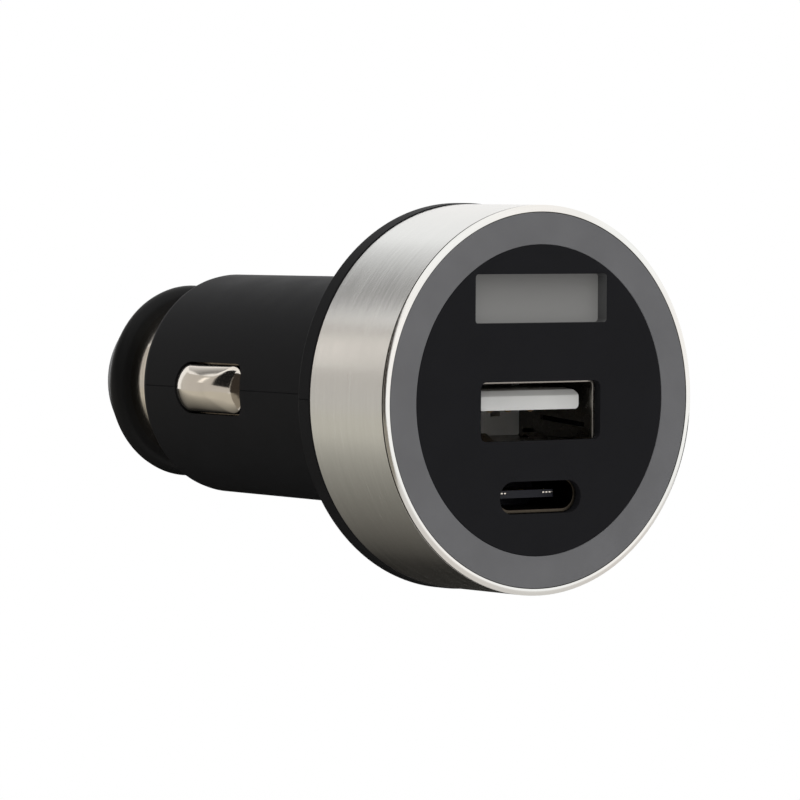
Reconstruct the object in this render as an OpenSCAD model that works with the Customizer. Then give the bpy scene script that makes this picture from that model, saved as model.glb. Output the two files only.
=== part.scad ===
// A two-port car charger plug: one wide and one small charging port and a meter display in a round
// head with a steel trim ring, a moulded barrel in two halves with a spring contact on each side, and
// a sprung tip contact in a screwed nose. Y runs along the plug, from the face towards the tip, Z is
// up, and the origin is on the axis at the rear face of the collar, which stops against the socket.

/* [Barrel] */
// Outer diameter of the barrel that goes into the socket
barrel_d = 20.6; // [20:0.1:21.2]
// Length of the barrel behind the collar
barrel_len = 34.8; // [34:0.1:40]
// Wall of the two shell halves around the barrel
barrel_wall = 1.2; // [0.9:0.05:1.4]
// Radius that the barrel loses to moulding draft between the side slots and its rear edge
barrel_draft = 0.1; // [0.04:0.01:0.2]
// Rounding of the barrel's rear edge
barrel_edge = 0.55; // [0.2:0.05:1]
// Wall at the rear end of the barrel, which holds the neck
rear_wall = 1.2; // [0.8:0.1:1.6]
// Width of the fine groove along the parting line of the two halves
seam_w = 0.12; // [0.06:0.02:0.3]
// Depth of that groove
seam_depth = 0.15; // [0.05:0.01:0.3]

/* [Head] */
// Outer diameter of the steel trim ring
head_d = 34; // [34:0.1:40]
// Length of the trim ring along the plug
trim_len = 10.86; // [10.2:0.02:14]
// Sheet thickness of the trim ring
trim_wall = 0.6; // [0.4:0.05:0.9]
// Bevel on the trim ring's front edge
trim_bevel = 0.16; // [0.05:0.01:0.3]
// How far the collar stands out past the trim ring
collar_lip = 0.09; // [0.02:0.01:0.6]
// Thickness of the collar that stops against the socket
collar_t = 1.64; // [1.2:0.02:2.4]
// Wall of the shell halves inside the trim ring
head_wall = 1.2; // [0.9:0.05:1.5]
// Width of the grey light ring's face
glow_w = 2.83; // [2.4:0.01:3.2]
// Depth of the face plate's front layer, which is the depth of the display's recess
face_t = 1.25; // [1:0.05:1.8]
// Thickness of the face plate's rear layer, which the window sits in
flange_t = 1.2; // [0.9:0.05:1.8]
// How far that rear layer reaches out behind the light ring
flange_lip = 0.33; // [0.2:0.01:0.4]

/* [Display] */
// Height of the display's opening
display_h = 4.25; // [3.5:0.05:4.4]
// Distance from the display's top edge up to the light ring
display_rim = 2.575; // [2.5:0.005:3]
// Distance from the display's two upper corners to the light ring
display_margin = 0.4; // [0.35:0.05:1.5]
// Corner radius of the display's opening
display_r = 0.3; // [0.1:0.05:0.6]
// How far the window reaches past its opening on each side
window_lap = 0.4; // [0.2:0.05:0.6]
// Depth of the digit module behind the window
module_t = 3; // [2.4:0.1:3.4]
// Thickness of the round board behind it
display_board_t = 1; // [0.8:0.1:1.2]
// Number of lamps behind the light ring
lamps = 8; // [6:2:8]

/* [Wide port] */
// Inner width of the wide port's metal shell
a_in_w = 12.5; // [12.4:0.02:12.6]
// Inner height of the wide port's metal shell
a_in_h = 5.12; // [5:0.02:5.2]
// Sheet thickness of that shell
a_wall = 0.3; // [0.2:0.02:0.34]
// Depth of the wide port's shell along the plug
a_len = 14; // [13:0.1:14.4]
// Height of the wide port's middle above the axis
a_z = -1.06; // [-1.3:0.02:-0.9]
// How deep the shell's front edge lies behind the face
a_recess = 0.7; // [0.4:0.05:0.9]
// Width of the cut-out in the face plate
a_cut_w = 13.2; // [13.16:0.02:13.6]
// Height of the cut-out in the face plate
a_cut_h = 5.16; // [4.9:0.02:5.4]
// How far the cut-out's middle lies above the port's middle
a_cut_rise = 0.14; // [0:0.02:0.24]
// Corner radius of that cut-out
a_cut_r = 0.6; // [0.3:0.05:0.8]
// Width of the port's tongue
tongue_w = 11.1; // [10.6:0.05:11.4]
// Thickness of the port's tongue
tongue_t = 1.84; // [1.6:0.02:2]
// Free height between the tongue and the shell above it
tongue_gap = 0.55; // [0.5:0.05:0.9]
// How deep the tongue's tip lies behind the shell's front edge
tongue_back = 1; // [0.6:0.1:2.6]
// Height of the bevel on the tongue's upper front edge
tongue_bevel = 0.6; // [0.2:0.05:0.8]
// Width of each of the four contact strips under the tongue
a_pin_w = 1; // [0.7:0.05:1.2]

/* [Small port] */
// Inner width of the small port's metal shell
c_in_w = 8.34; // [8.2:0.02:8.4]
// Inner height of the small port's metal shell
c_in_h = 2.56; // [2.5:0.02:2.6]
// Sheet thickness of that shell
c_wall = 0.3; // [0.2:0.02:0.34]
// Depth of the small port's shell along the plug
c_len = 7.5; // [7:0.1:7.8]
// Distance from the small port's cut-out down to the light ring
c_rim = 3.71; // [3.5:0.01:3.8]
// How deep the shell's front edge lies behind the face
c_recess = 0.7; // [0.4:0.05:0.9]
// Width of the cut-out in the face plate
c_cut_w = 8.96; // [8.8:0.02:9.1]
// Height of the cut-out in the face plate
c_cut_h = 2.86; // [2.7:0.02:3.2]
// How far the cut-out's middle lies below the port's middle
c_cut_drop = 0.2; // [0:0.02:0.26]
// Width of the small port's tongue
c_tongue_w = 6.69; // [6.4:0.01:6.9]
// Thickness of the small port's tongue
c_tongue_t = 0.66; // [0.6:0.02:0.8]
// How deep the tongue's tip lies behind the shell's front edge
c_tongue_back = 1.4; // [0.8:0.1:1.8]

/* [Boards] */
// Thickness of the main board
board_t = 1.6; // [1.2:0.1:1.8]
// Thickness of the small port's own board
port_board_t = 1; // [0.8:0.1:1.2]
// Width of the small port's own board
port_board_w = 12; // [11.4:0.1:12.6]
// Diameter of the inductor's core
inductor_d = 9.2; // [8:0.1:9.4]
// Height of the inductor's core
inductor_h = 7; // [5:0.1:7.4]
// Diameter of the input capacitor
input_cap_d = 8; // [6.3:0.1:8]
// Diameter of the output capacitor
output_cap_d = 6.3; // [5:0.1:7]
// Share of the room behind the inductor that the input capacitor takes
input_cap_share = 0.595; // [0.5:0.005:0.65]
// Width of the two chips under the main board
chip_w = 4; // [3.6:0.1:4.4]
// Length of the two chips
chip_len = 5; // [4.4:0.1:5.4]
// Width of the diode's package
diode_w = 2.6; // [2:0.1:3]
// Length of the diode's package
diode_len = 2.4; // [2:0.1:3]
// Width of the fuse
fuse_w = 2.2; // [1.6:0.1:2.6]
// Length of the fuse
fuse_len = 4; // [3.2:0.1:4.6]

/* [Side contacts] */
// Distance from the collar to the slots for the side contacts
slot_y = 18.48; // [17.8:0.02:18.8]
// Length of each slot
slot_len = 10.46; // [9.4:0.02:11]
// Height of each slot
slot_h = 4.74; // [4.4:0.02:5.2]
// Corner radius at the slot's head end
slot_corner = 0.9; // [0.4:0.05:1.4]
// Sheet thickness of the side contacts
contact_sheet = 0.4; // [0.25:0.05:0.5]
// Free travel of each side contact into the barrel
contact_travel = 1.3; // [1:0.05:1.4]
// How far below the barrel's side the contacts lie when they are pressed home
contact_sink = 0.2; // [0:0.05:0.4]
// Gap between the contact's dome and the slot along the slot's sides
dome_side_gap = 0.15; // [0.12:0.01:0.5]
// Gap between the contact's dome and the slot at its two ends
dome_end_gap = 0.12; // [0.08:0.02:0.3]
// How far the contact's flange reaches past the slot above and below
contact_lap = 0.65; // [0.5:0.05:0.8]

/* [Nose] */
// How far the plated metal neck lies in from the barrel's side
neck_step = 2.4; // [2.2:0.05:2.7]
// Length of the neck that shows between barrel and nose
neck_len = 5.4; // [4.6:0.1:7]
// Wall of the neck
neck_wall = 2; // [1.9:0.05:2.2]
// How far the nose's rim lies in from the barrel's side
nose_step = 1.26; // [0.8:0.02:1.6]
// Length of the nose
nose_len = 5.2; // [5:0.1:7]
// Distance from the nose's front face to its widest line
nose_rim_y = 1.06; // [0.8:0.02:1.6]
// Thickness of the nose's end wall
nose_end_t = 1.8; // [1.5:0.1:2]
// Diameter of the tip contact
tip_d = 5.8; // [4.8:0.1:6]
// Travel of the tip contact
tip_travel = 2.5; // [2.2:0.1:2.8]
// How far the tip contact still stands out of the nose when it is pressed home
tip_left = 1.1; // [0.8:0.1:1.6]
// Wire diameter of the tip's coil spring
wire_d = 0.56; // [0.4:0.02:0.6]
// Number of turns of the coil spring
spring_turns = 6.5; // [5:0.5:7]

/* [Fits] */
// Clearance between pieces that are pushed or glued together
fit_gap = 0.05; // [0.02:0.01:0.08]
// Clearance around pieces that slide
slide_gap = 0.1; // [0.06:0.01:0.12]
// Clearance between the boards and the moulded walls
board_gap = 0.3; // [0.2:0.05:0.4]

/* [Hidden] */
$fn = 96;
far = 60;

// Places along the plug
collar_front = -collar_t;
head_front = collar_front - trim_len;
layer_y = head_front + face_t;
face_back = layer_y + flange_t;
lamp_board_y = face_back + fit_gap + module_t;
ledge_y = lamp_board_y + display_board_t;
ledge_t = 1.2;
ledge_w = 0.95;
straight_end = slot_y - 0.7;
slot_end = slot_y + slot_len;
rear_inside = barrel_len - rear_wall;
neck_foot_t = 1.15;
neck_foot_y = rear_inside - fit_gap - neck_foot_t;
nose_front = barrel_len + neck_len;
nose_end = nose_front + nose_len;
cavity_end = nose_end - nose_end_t;

// Radii of the shell
barrel_r = barrel_d / 2;
barrel_ri = barrel_r - barrel_wall;
rear_r = barrel_r - barrel_draft;
rear_ri = barrel_ri - barrel_draft;
collar_r = head_d / 2 + collar_lip;
collar_edge = 0.2;
trim_ri = head_d / 2 - trim_wall;
head_ro = trim_ri - fit_gap;
head_ri = head_ro - head_wall;
face_r = trim_ri - glow_w;
flange_r = face_r + flange_lip;
ledge_ri = head_ri - ledge_w;
neck_r = barrel_r - neck_step;
nose_r = barrel_r - nose_step;
neck_ri = neck_r - neck_wall;
thread_r = neck_r - 1.3;
thread_bevel = 0.3;
neck_foot_r = rear_ri - board_gap;

// The display's opening, set by the light ring around the face
display_z = face_r - display_rim - display_h / 2;
display_w = 2 * sqrt(pow(face_r - display_margin, 2) - pow(face_r - display_rim, 2));

// The pegs that join the halves
peg_r = 0.6;
boss_r = 1.1;
peg_len = 1.6;
head_peg_x = head_ri - boss_r - 0.85;
barrel_peg_x = barrel_ri - boss_r + 0.15;
head_peg_y = collar_front - boss_r - 0.2;

// The wide port and the main board that it stands on
a_out_w = a_in_w + 2 * a_wall;
a_out_h = a_in_h + 2 * a_wall;
a_front = head_front + a_recess;
a_back = a_front + a_len;
a_in_r = 0.25;
a_out_r = a_in_r + a_wall;
barrel_peg_y = a_back + boss_r + 1.1;
a_floor = a_z - a_in_h / 2;
board_top = a_floor - a_wall;
board_bottom = board_top - board_t;
board_half = sqrt(pow(rear_ri, 2) - pow(board_bottom, 2)) - board_gap;
board_rear = neck_foot_y - 0.7;
tongue_top = a_z + a_in_h / 2 - tongue_gap;
tongue_low = tongue_top - tongue_t;
tongue_tip = a_front + tongue_back;
block_t = 3.4;
block_y = a_back - 0.3 - block_t;
a_pin_t = 0.3;
a_pins = [-3.5, -1, 1, 3.5];
finger_x = 3.1;
finger_y = a_front + 2.4;
finger_w = 2;
finger_len = 3.4;
finger_rise = 0.65;
slit_y = a_front + 4.2;
slit_z = a_z - 1.04;
slit_len = 6.2;
slit_h = 0.45;
slit_tilt = 4.3;
bump_y = a_front + 5.3;
bump = 0.4;
bump_run = 0.9;
leg_y = a_back - 5;
leg_w = 1.6;

// The ribs that carry the boards
rib_w = 1.2;
rib_x = board_half - rib_w / 2 - 0.2;
port_rib_x = 4.5;

// The small port and its own board
c_z = c_rim + c_cut_h / 2 + c_cut_drop - face_r;
c_out_w = c_in_w + 2 * c_wall;
c_out_h = c_in_h + 2 * c_wall;
c_front = head_front + c_recess;
c_back = c_front + c_len;
port_board_top = c_z - c_out_h / 2;
port_board_low = port_board_top - port_board_t;
port_board_y = face_back + 0.15;
port_board_end = collar_front - 0.35;
c_block_t = 1.9;
c_tongue_tip = c_front + c_tongue_back;
c_pitch = 0.5;
c_strip_w = 0.26;
c_strip_t = 0.1;
header_w = 8.4;
header_t = 1.3;
header_y = c_back + 0.5;
board_front = c_back + board_gap;
board_flank = (a_out_w / 2 + head_peg_x - boss_r) / 2;
header_pin = 0.5;
header_pins = [-3, -1, 1, 3];

// The side contacts
slot_mid_r = slot_h / 2;
pocket_x = barrel_ri - 0.2;
flange_half = slot_mid_r + contact_lap;
flange_x = pocket_x - fit_gap;
dome_half = slot_mid_r - dome_side_gap;
dome_top = barrel_r + contact_travel - contact_sink;
contact_tail = 6.2;
contact_y0 = slot_y - contact_tail;
contact_y1 = slot_end + 2.2;
wiper_y = contact_y0 + 1;
wiper_w = 2;
wiper_x = board_half - 0.6;

// The tip contact, its spring and the cup that holds them
cup_r = neck_ri - fit_gap;
cup_ri = cup_r - 0.85;
cup_floor_y = neck_foot_y - fit_gap;
cup_floor_t = 1.6;
cup_foot_t = 0.45;
cup_end = cavity_end - slide_gap;
terminal_t = 0.4;
stem_r = 0.8;
stem_hole_r = stem_r + slide_gap;
cup_foot_r = neck_r - 0.7;
neck_end = cavity_end - 0.1;
seat_y = cup_floor_y + cup_floor_t + terminal_t;
tip_r = tip_d / 2;
tip_flange_t = 1.2;
tip_flange_r = cup_ri - slide_gap;
tip_flange_end = cavity_end - fit_gap;
tip_flange_y = tip_flange_end - tip_flange_t;
tip_end = nose_end + tip_travel + tip_left;
seat_to_flange = tip_flange_y - seat_y;
pilot_len = 1.4;
spring_r = cup_ri - 0.7 - wire_d / 2;
pilot_r = spring_r - wire_d / 2 - 0.25;
strip_y = board_rear - 0.8;

// Parts on the boards
inductor_y = a_back + 1.3 + inductor_d / 2;
input_cap_y = inductor_y + inductor_d / 2 + 0.7;
cap_gap = 0.5;
cap_room = strip_y - 0.2 - input_cap_y - cap_gap;
input_cap_len = input_cap_share * cap_room;
output_cap_len = cap_room - input_cap_len;
output_cap_y = input_cap_y + input_cap_len + cap_gap;
lamp_r = flange_r + 0.52;

// Parts under the main board: the first under the inductor, the last near the board's rear end
under_room = rear_ri + board_bottom;
chip_t = 0.46 * under_room;
tall_part_t = 0.56 * under_room;
converter_y = inductor_y - chip_len / 2;
fuse_y = board_rear - 1.2 - fuse_len;
under_gap = (fuse_y - converter_y - 2 * chip_len - diode_len) / 3;
charge_y = converter_y + chip_len + under_gap;
diode_y = charge_y + chip_len + under_gap;

// Points of an arc in a flat profile
function arc(cx, cy, r, from, to, steps = 6) =
  [for (i = [0:steps]) let (t = from + (to - from) * i / steps) [cx + r * cos(t), cy + r * sin(t)]];

// A profile of radius against length, turned about the plug's axis
module turned() {
  rotate([-90, 0, 0])
    rotate_extrude()
      children();
}

// A round bar along the plug
module bar(r, y0, y1) {
  translate([0, y0, 0])
    rotate([-90, 0, 0])
      cylinder(r = r, h = y1 - y0);
}

// An outline drawn in X and Z, carried along the plug
module along(y0, y1) {
  translate([0, y1, 0])
    rotate([90, 0, 0])
      linear_extrude(y1 - y0)
        children();
}

// A box from its low corner to its high corner
module block(low, high) {
  translate(low)
    cube(high - low);
}

// A rectangle with round corners and true arcs
module rounded(w, h, r) {
  square([w - 2 * r, h], center = true);
  square([w, h - 2 * r], center = true);
  for (sx = [-1, 1], sy = [-1, 1])
    translate([sx * (w / 2 - r), sy * (h / 2 - r)])
      circle(r);
}

// An outline with fully round ends
module oval(w, h) {
  square([w - h, h], center = true);
  for (s = [-1, 1])
    translate([s * (w - h) / 2, 0])
      circle(h / 2);
}

// The wall of both shell halves, from the light ring's seat to the hole for the neck
module shell_section() {
  polygon(concat(
    [[head_ri, face_back], [head_ro, face_back], [head_ro, collar_front], [collar_r, collar_front]],
    arc(collar_r - collar_edge, -collar_edge, collar_edge, 0, 90, 3),
    [[barrel_r, 0], [barrel_r, straight_end]],
    arc(rear_r - barrel_edge, barrel_len - barrel_edge, barrel_edge, 0, 90),
    [[neck_r + fit_gap, barrel_len], [neck_r + fit_gap, rear_inside], [rear_ri, rear_inside],
      [barrel_ri, straight_end], [barrel_ri, collar_front], [head_ri, collar_front],
      [head_ri, ledge_y + ledge_t], [ledge_ri, ledge_y + ledge_t], [ledge_ri, ledge_y],
      [head_ri, ledge_y]]));
}

// Everything inside the shell's outer surface, which trims the ribs and bosses
module shell_envelope() {
  turned()
    polygon([[0, face_back], [head_ri + 0.2, face_back], [head_ri + 0.2, collar_front + 0.2],
      [barrel_ri + 0.2, collar_front + 0.2], [barrel_ri + 0.2, straight_end],
      [rear_ri + 0.2, rear_inside + 0.2], [0, rear_inside + 0.2]]);
}

// Where the halves are pegged together: two places in the head and two in the barrel
module at_pegs() {
  for (s = [-1, 1]) {
    translate([s * head_peg_x, head_peg_y, 0])
      children();
    translate([s * barrel_peg_x, barrel_peg_y, 0])
      children();
  }
}

// The outline of a side slot in Y and Z: fully round towards the nose, square with corners behind
module slot_outline(inset_side = 0, inset_end = 0) {
  half = slot_mid_r - inset_side;
  y0 = slot_y + inset_end;
  y1 = slot_end - inset_end;
  corner = min(slot_corner, half - 0.1);
  translate([y1 - half, 0])
    circle(half);
  translate([y0 + corner, -half])
    square([y1 - half - y0 - corner, 2 * half]);
  translate([y0, corner - half])
    square([corner + 0.1, 2 * (half - corner)]);
  for (s = [-1, 1])
    translate([y0 + corner, s * (half - corner)])
      circle(corner);
}

// An outline drawn in Y and Z, carried out from x0 to x1
module outward(x0, x1) {
  translate([x0, 0, 0])
    rotate([90, 0, 90])
      linear_extrude(x1 - x0)
        children();
}

// The slots for the side contacts and the flat pockets behind them
module contact_cuts() {
  for (s = [0, 1])
    mirror([s, 0, 0]) {
      outward(barrel_ri - 3, far)
        slot_outline();
      block([barrel_ri - 3, contact_y0 - 0.3, -flange_half - slide_gap],
        [pocket_x, contact_y1 + 0.3, flange_half + slide_gap]);
    }
}

// The fine groove that shows where the two halves meet
module seam_cut() {
  for (s = [-1, 1]) {
    translate([s * (barrel_r - seam_depth + far / 2), 0, 0])
      cube([far, 2 * far, seam_w], center = true);
    translate([s * (collar_r - seam_depth + far / 2), 0, 0])
      cube([far, 2 * far, seam_w], center = true);
  }
}

// Ledges in the lower half that the main board and the small port's board lie on
module board_rests() {
  for (s = [-1, 1]) {
    block([s * rib_x - rib_w / 2, 1, -barrel_ri - 1],
      [s * rib_x + rib_w / 2, board_rear - 1, board_bottom]);
    block([s * port_rib_x - rib_w / 2, ledge_y + ledge_t - 0.2, -head_ri - 1],
      [s * port_rib_x + rib_w / 2, collar_front + 0.2, port_board_low]);
  }
}

module shell_half(side) {
  difference() {
    union() {
      intersection() {
        turned()
          shell_section();
        translate([-far, -far, side > 0 ? 0 : -far])
          cube([2 * far, 2 * far, far]);
      }
      intersection() {
        shell_envelope();
        union() {
          at_pegs()
            translate([0, 0, side > 0 ? 0 : -far])
              cylinder(r = boss_r, h = far);
          if (side < 0)
            board_rests();
        }
      }
      if (side > 0)
        at_pegs()
          translate([0, 0, -peg_len])
            cylinder(r = peg_r, h = peg_len + 1);
    }
    if (side < 0)
      at_pegs()
        translate([0, 0, -peg_len - 0.2])
          cylinder(r = peg_r + fit_gap, h = peg_len + 1);
    contact_cuts();
    intersection() {
      seam_cut();
      seam_reach();
    }
  }
}

// The seam groove runs along the barrel and over the collar's edge, and nowhere else
module seam_reach() {
  block([-barrel_r - 1, -0.01, -1], [barrel_r + 1, barrel_len + 1, 1]);
  difference() {
    block([-far, collar_front - 0.01, -1], [far, 0.01, 1]);
    block([-collar_r + seam_depth, collar_front - 1, -2], [collar_r - seam_depth, 1, 2]);
  }
}

module upper_shell() {
  color([0.125, 0.125, 0.13])
    shell_half(1);
}

module lower_shell() {
  color([0.12, 0.12, 0.125])
    shell_half(-1);
}

// A thin steel ring with a bevelled front edge, seated on the collar
module trim_ring() {
  color([0.68, 0.67, 0.64])
    turned()
      polygon([[trim_ri, head_front + 0.05], [trim_ri + 0.05, head_front],
        [head_d / 2 - trim_bevel, head_front], [head_d / 2, head_front + trim_bevel],
        [head_d / 2, collar_front - 0.05], [head_d / 2 - 0.05, collar_front], [trim_ri, collar_front]]);
}

// The moulded light guide around the face, with a step behind it for the face plate's rear layer
module light_ring() {
  color([0.4, 0.4, 0.4])
    turned()
      polygon([[face_r, head_front], [trim_ri - fit_gap, head_front], [trim_ri - fit_gap, face_back],
        [flange_r + fit_gap, face_back], [flange_r + fit_gap, layer_y], [face_r, layer_y]]);
}

// The cut-out for the wide port: the visible opening, then room for the port's shell behind it
module wide_port_cut() {
  translate([0, 0, a_z + a_cut_rise])
    along(head_front - 1, face_back + 1)
      rounded(a_cut_w, a_cut_h, a_cut_r);
  translate([0, 0, a_z])
    along(a_front - fit_gap, face_back + 1)
      rounded(a_out_w + 2 * fit_gap, a_out_h + 2 * fit_gap, a_out_r + fit_gap);
}

module small_port_cut() {
  translate([0, 0, c_z - c_cut_drop])
    along(head_front - 1, face_back + 1)
      oval(c_cut_w, c_cut_h);
  translate([0, 0, c_z])
    along(c_front - fit_gap, face_back + 1)
      oval(c_out_w + 2 * fit_gap, c_out_h + 2 * fit_gap);
}

module face_plate() {
  color([0.125, 0.125, 0.13])
    difference() {
      union() {
        bar(face_r - fit_gap / 2, head_front, layer_y);
        bar(flange_r, layer_y, face_back);
      }
      wide_port_cut();
      small_port_cut();
      translate([0, 0, display_z]) {
        along(head_front - 1, face_back + 1)
          rounded(display_w, display_h, display_r);
        along(layer_y, face_back + 1)
          window_outline(window_lap);
      }
    }
}

module window_outline(grow) {
  rounded(display_w + 2 * grow, display_h + 2 * grow, display_r + 0.1);
}

module display_window() {
  color([0.44, 0.43, 0.41])
    translate([0, 0, display_z])
      along(layer_y, face_back)
        window_outline(window_lap - fit_gap);
}

// Three digits in one block: each digit is a well with seven bars standing in it
module digit_module() {
  digits = 3;
  block_w = display_w + 0.4;
  block_h = display_h + 1.4;
  pitch = block_w / digits;
  bar_w = 0.5;
  digit_w = pitch - 2;
  digit_h = display_h - 1.2;
  color([0.2, 0.2, 0.21])
    translate([0, 0, display_z])
      difference() {
        along(face_back + fit_gap, lamp_board_y)
          square([block_w, block_h], center = true);
        for (i = [0:digits - 1])
          translate([(i - (digits - 1) / 2) * pitch, 0, 0])
            along(face_back, face_back + fit_gap + 0.4)
              difference() {
                square([digit_w, digit_h], center = true);
                for (s = [-1, 1])
                  translate([0, s * digit_h / 4])
                    square([digit_w - 2 * bar_w, digit_h / 2 - bar_w], center = true);
              }
      }
}

// The round board that carries the digits and the lamps, open in the middle for both ports
module display_board() {
  open_half = a_out_w / 2 + 0.35;
  open_top = a_z + a_out_h / 2 + 0.5;
  open_low = port_board_low - 0.55;
  color([0.1, 0.32, 0.2])
    difference() {
      bar(head_ri - 0.15, lamp_board_y, ledge_y);
      block([-open_half, lamp_board_y - 1, open_low], [open_half, ledge_y + 1, open_top]);
    }
}

module lamp(i) {
  turn = 360 / lamps * (i - 0.5);
  half_w = 0.8;
  half_h = 0.4;
  depth = 0.7;
  color([0.9, 0.9, 0.8])
    rotate([0, turn, 0])
      block([lamp_r - half_h, lamp_board_y - depth, -half_w], [lamp_r + half_h, lamp_board_y, half_w]);
}

// The main board: wider in the head, and as wide as the barrel allows
module main_board() {
  step_y = collar_front - board_gap;
  color([0.09, 0.3, 0.18])
    difference() {
      union() {
        block([-board_flank, board_front, board_bottom], [board_flank, step_y, board_top]);
        block([-board_half, step_y, board_bottom], [board_half, board_rear, board_top]);
      }
      for (s = [-1, 1])
        translate([s * (a_out_w / 2 - a_wall / 2), leg_y, 0])
          cube([a_wall + 2 * fit_gap, leg_w + 2 * fit_gap, far], center = true);
      header_holes();
    }
}

module port_board() {
  color([0.09, 0.3, 0.18])
    difference() {
      block([-port_board_w / 2, port_board_y, port_board_low],
        [port_board_w / 2, port_board_end, port_board_top]);
      header_holes();
    }
}

module header_holes() {
  for (x = header_pins)
    translate([x, header_y + header_t / 2, 0])
      cylinder(r = header_pin / 2 + fit_gap, h = far, center = true);
}

module header_block() {
  color([0.14, 0.14, 0.15])
    difference() {
      block([-header_w / 2, header_y, port_board_top], [header_w / 2, header_y + header_t, board_bottom]);
      header_holes();
    }
}

module header_pins() {
  color([0.8, 0.7, 0.4])
    for (x = header_pins)
      translate([x, header_y + header_t / 2, port_board_low - 0.4])
        cylinder(r = header_pin / 2, h = board_top - port_board_low + 0.4 - fit_gap);
}

// A window in the wide port's floor
module finger_window() {
  translate([-finger_w / 2, 0, -1])
    cube([finger_w, finger_len, 2]);
}

// The spring finger in that window, which rises from its front edge to a bend near its free end
module finger_leaf() {
  side_gap = 0.15;
  bend_y = finger_len - 1.2;
  tip_y = finger_len - 0.5;
  tip_drop = 0.15;
  outward(side_gap - finger_w / 2, finger_w / 2 - side_gap)
    polygon([[-fit_gap, 0], [0.5, 0], [bend_y, finger_rise], [tip_y, finger_rise - tip_drop],
      [tip_y, finger_rise - tip_drop + a_wall], [bend_y, finger_rise + a_wall], [0.5, a_wall],
      [-fit_gap, a_wall]]);
}

// The places of the two spring fingers in the wide port's floor
module at_fingers() {
  for (x = [-finger_x, finger_x])
    translate([x, finger_y, a_z - a_out_h / 2])
      children();
}

// A slanted slit in each side of the wide port's shell
module side_slits() {
  for (s = [-1, 1])
    translate([s * (a_out_w - a_wall) / 2, slit_y, slit_z])
      rotate([slit_tilt, 0, 0])
        cube([3 * a_wall, slit_len, slit_h], center = true);
}

module wide_port_shell() {
  color([0.72, 0.7, 0.67])
    union() {
      difference() {
        translate([0, 0, a_z])
          along(a_front, a_back)
            difference() {
              rounded(a_out_w, a_out_h, a_out_r);
              rounded(a_in_w, a_in_h, a_in_r);
            }
        at_fingers()
          finger_window();
        side_slits();
      }
      at_fingers()
        finger_leaf();
      for (s = [-1, 1])
        translate([s * (a_out_w / 2 - a_wall / 2), leg_y, board_bottom - 0.6])
          translate([-a_wall / 2, -leg_w / 2, 0])
            cube([a_wall, leg_w, a_z - board_bottom]);
    }
}

// The strip of one contact in Y and Z: flush in the tongue, bent down to a point, then straight to
// the rear and down to the board
module pin_strip() {
  top = tongue_low + a_pin_t;
  y0 = tongue_tip + 0.4;
  tail = a_back + 0.1;
  polygon([[y0, tongue_low], [bump_y - bump_run, tongue_low], [bump_y, tongue_low - bump],
    [bump_y + bump_run, tongue_low], [tail, tongue_low], [tail, board_top],
    [tail + a_pin_t, board_top], [tail + a_pin_t, top], [bump_y + bump_run, top],
    [bump_y, top - bump], [bump_y - bump_run, top], [y0, top]]);
}

module wide_port_contact(i) {
  color([0.83, 0.66, 0.33])
    outward(a_pins[i - 1] - a_pin_w / 2, a_pins[i - 1] + a_pin_w / 2)
      pin_strip();
}

// The pale insulator: a tongue with a bevelled tip, grooved below for the contacts, and its block
module wide_port_tongue() {
  color([0.86, 0.86, 0.84])
    difference() {
      union() {
        outward(-tongue_w / 2, tongue_w / 2)
          polygon([[tongue_tip, tongue_low + 0.2], [tongue_tip + 0.2, tongue_low],
            [block_y + 0.1, tongue_low], [block_y + 0.1, tongue_top],
            [tongue_tip + 2 * tongue_bevel, tongue_top], [tongue_tip, tongue_top - tongue_bevel]]);
        translate([0, 0, a_z])
          along(block_y, block_y + block_t)
            rounded(a_in_w - 2 * fit_gap, a_in_h - 2 * fit_gap, a_in_r);
      }
      for (x = a_pins)
        block([x - a_pin_w / 2 - fit_gap, tongue_tip + 0.3, tongue_low - 0.2 - a_pin_t],
          [x + a_pin_w / 2 + fit_gap, a_back, tongue_low + a_pin_t + fit_gap]);
    }
}

module small_port_shell() {
  color([0.72, 0.68, 0.6])
    translate([0, 0, c_z])
      along(c_front, c_back)
        difference() {
          oval(c_out_w, c_out_h);
          oval(c_in_w, c_in_h);
        }
}

// Places of the small port's contact strips, twelve on each face of the tongue
module small_port_strips() {
  for (i = [0:11], s = [-1, 1])
    translate([(i - 5.5) * c_pitch, c_tongue_tip + 0.5, c_z + s * (c_tongue_t / 2 - c_strip_t / 2)])
      translate([-c_strip_w / 2, 0, -c_strip_t / 2])
        cube([c_strip_w, c_back - c_block_t - c_tongue_tip - 0.6, c_strip_t]);
}

module small_port_contacts() {
  color([0.83, 0.66, 0.33])
    small_port_strips();
}

module small_port_tongue() {
  corner = 0.35;
  color([0.1, 0.1, 0.13])
    difference() {
      union() {
        translate([0, 0, c_z - c_tongue_t / 2])
          linear_extrude(c_tongue_t)
            polygon([[-c_tongue_w / 2, c_back - c_block_t + 0.1], [-c_tongue_w / 2, c_tongue_tip + corner],
              [corner - c_tongue_w / 2, c_tongue_tip], [c_tongue_w / 2 - corner, c_tongue_tip],
              [c_tongue_w / 2, c_tongue_tip + corner], [c_tongue_w / 2, c_back - c_block_t + 0.1]]);
        translate([0, 0, c_z])
          along(c_back - c_block_t, c_back)
            oval(c_in_w - 2 * fit_gap, c_in_h - 2 * fit_gap);
      }
      small_port_strips();
    }
}

// A drum core with a winding in its waist
module inductor_core() {
  flange = 1.2;
  color([0.25, 0.25, 0.26])
    translate([0, inductor_y, board_top])
      rotate_extrude()
        polygon([[0, 0], [inductor_d / 2, 0], [inductor_d / 2, flange], [inductor_d / 4, flange],
          [inductor_d / 4, inductor_h - flange], [inductor_d / 2, inductor_h - flange],
          [inductor_d / 2, inductor_h], [0, inductor_h]]);
}

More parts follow.
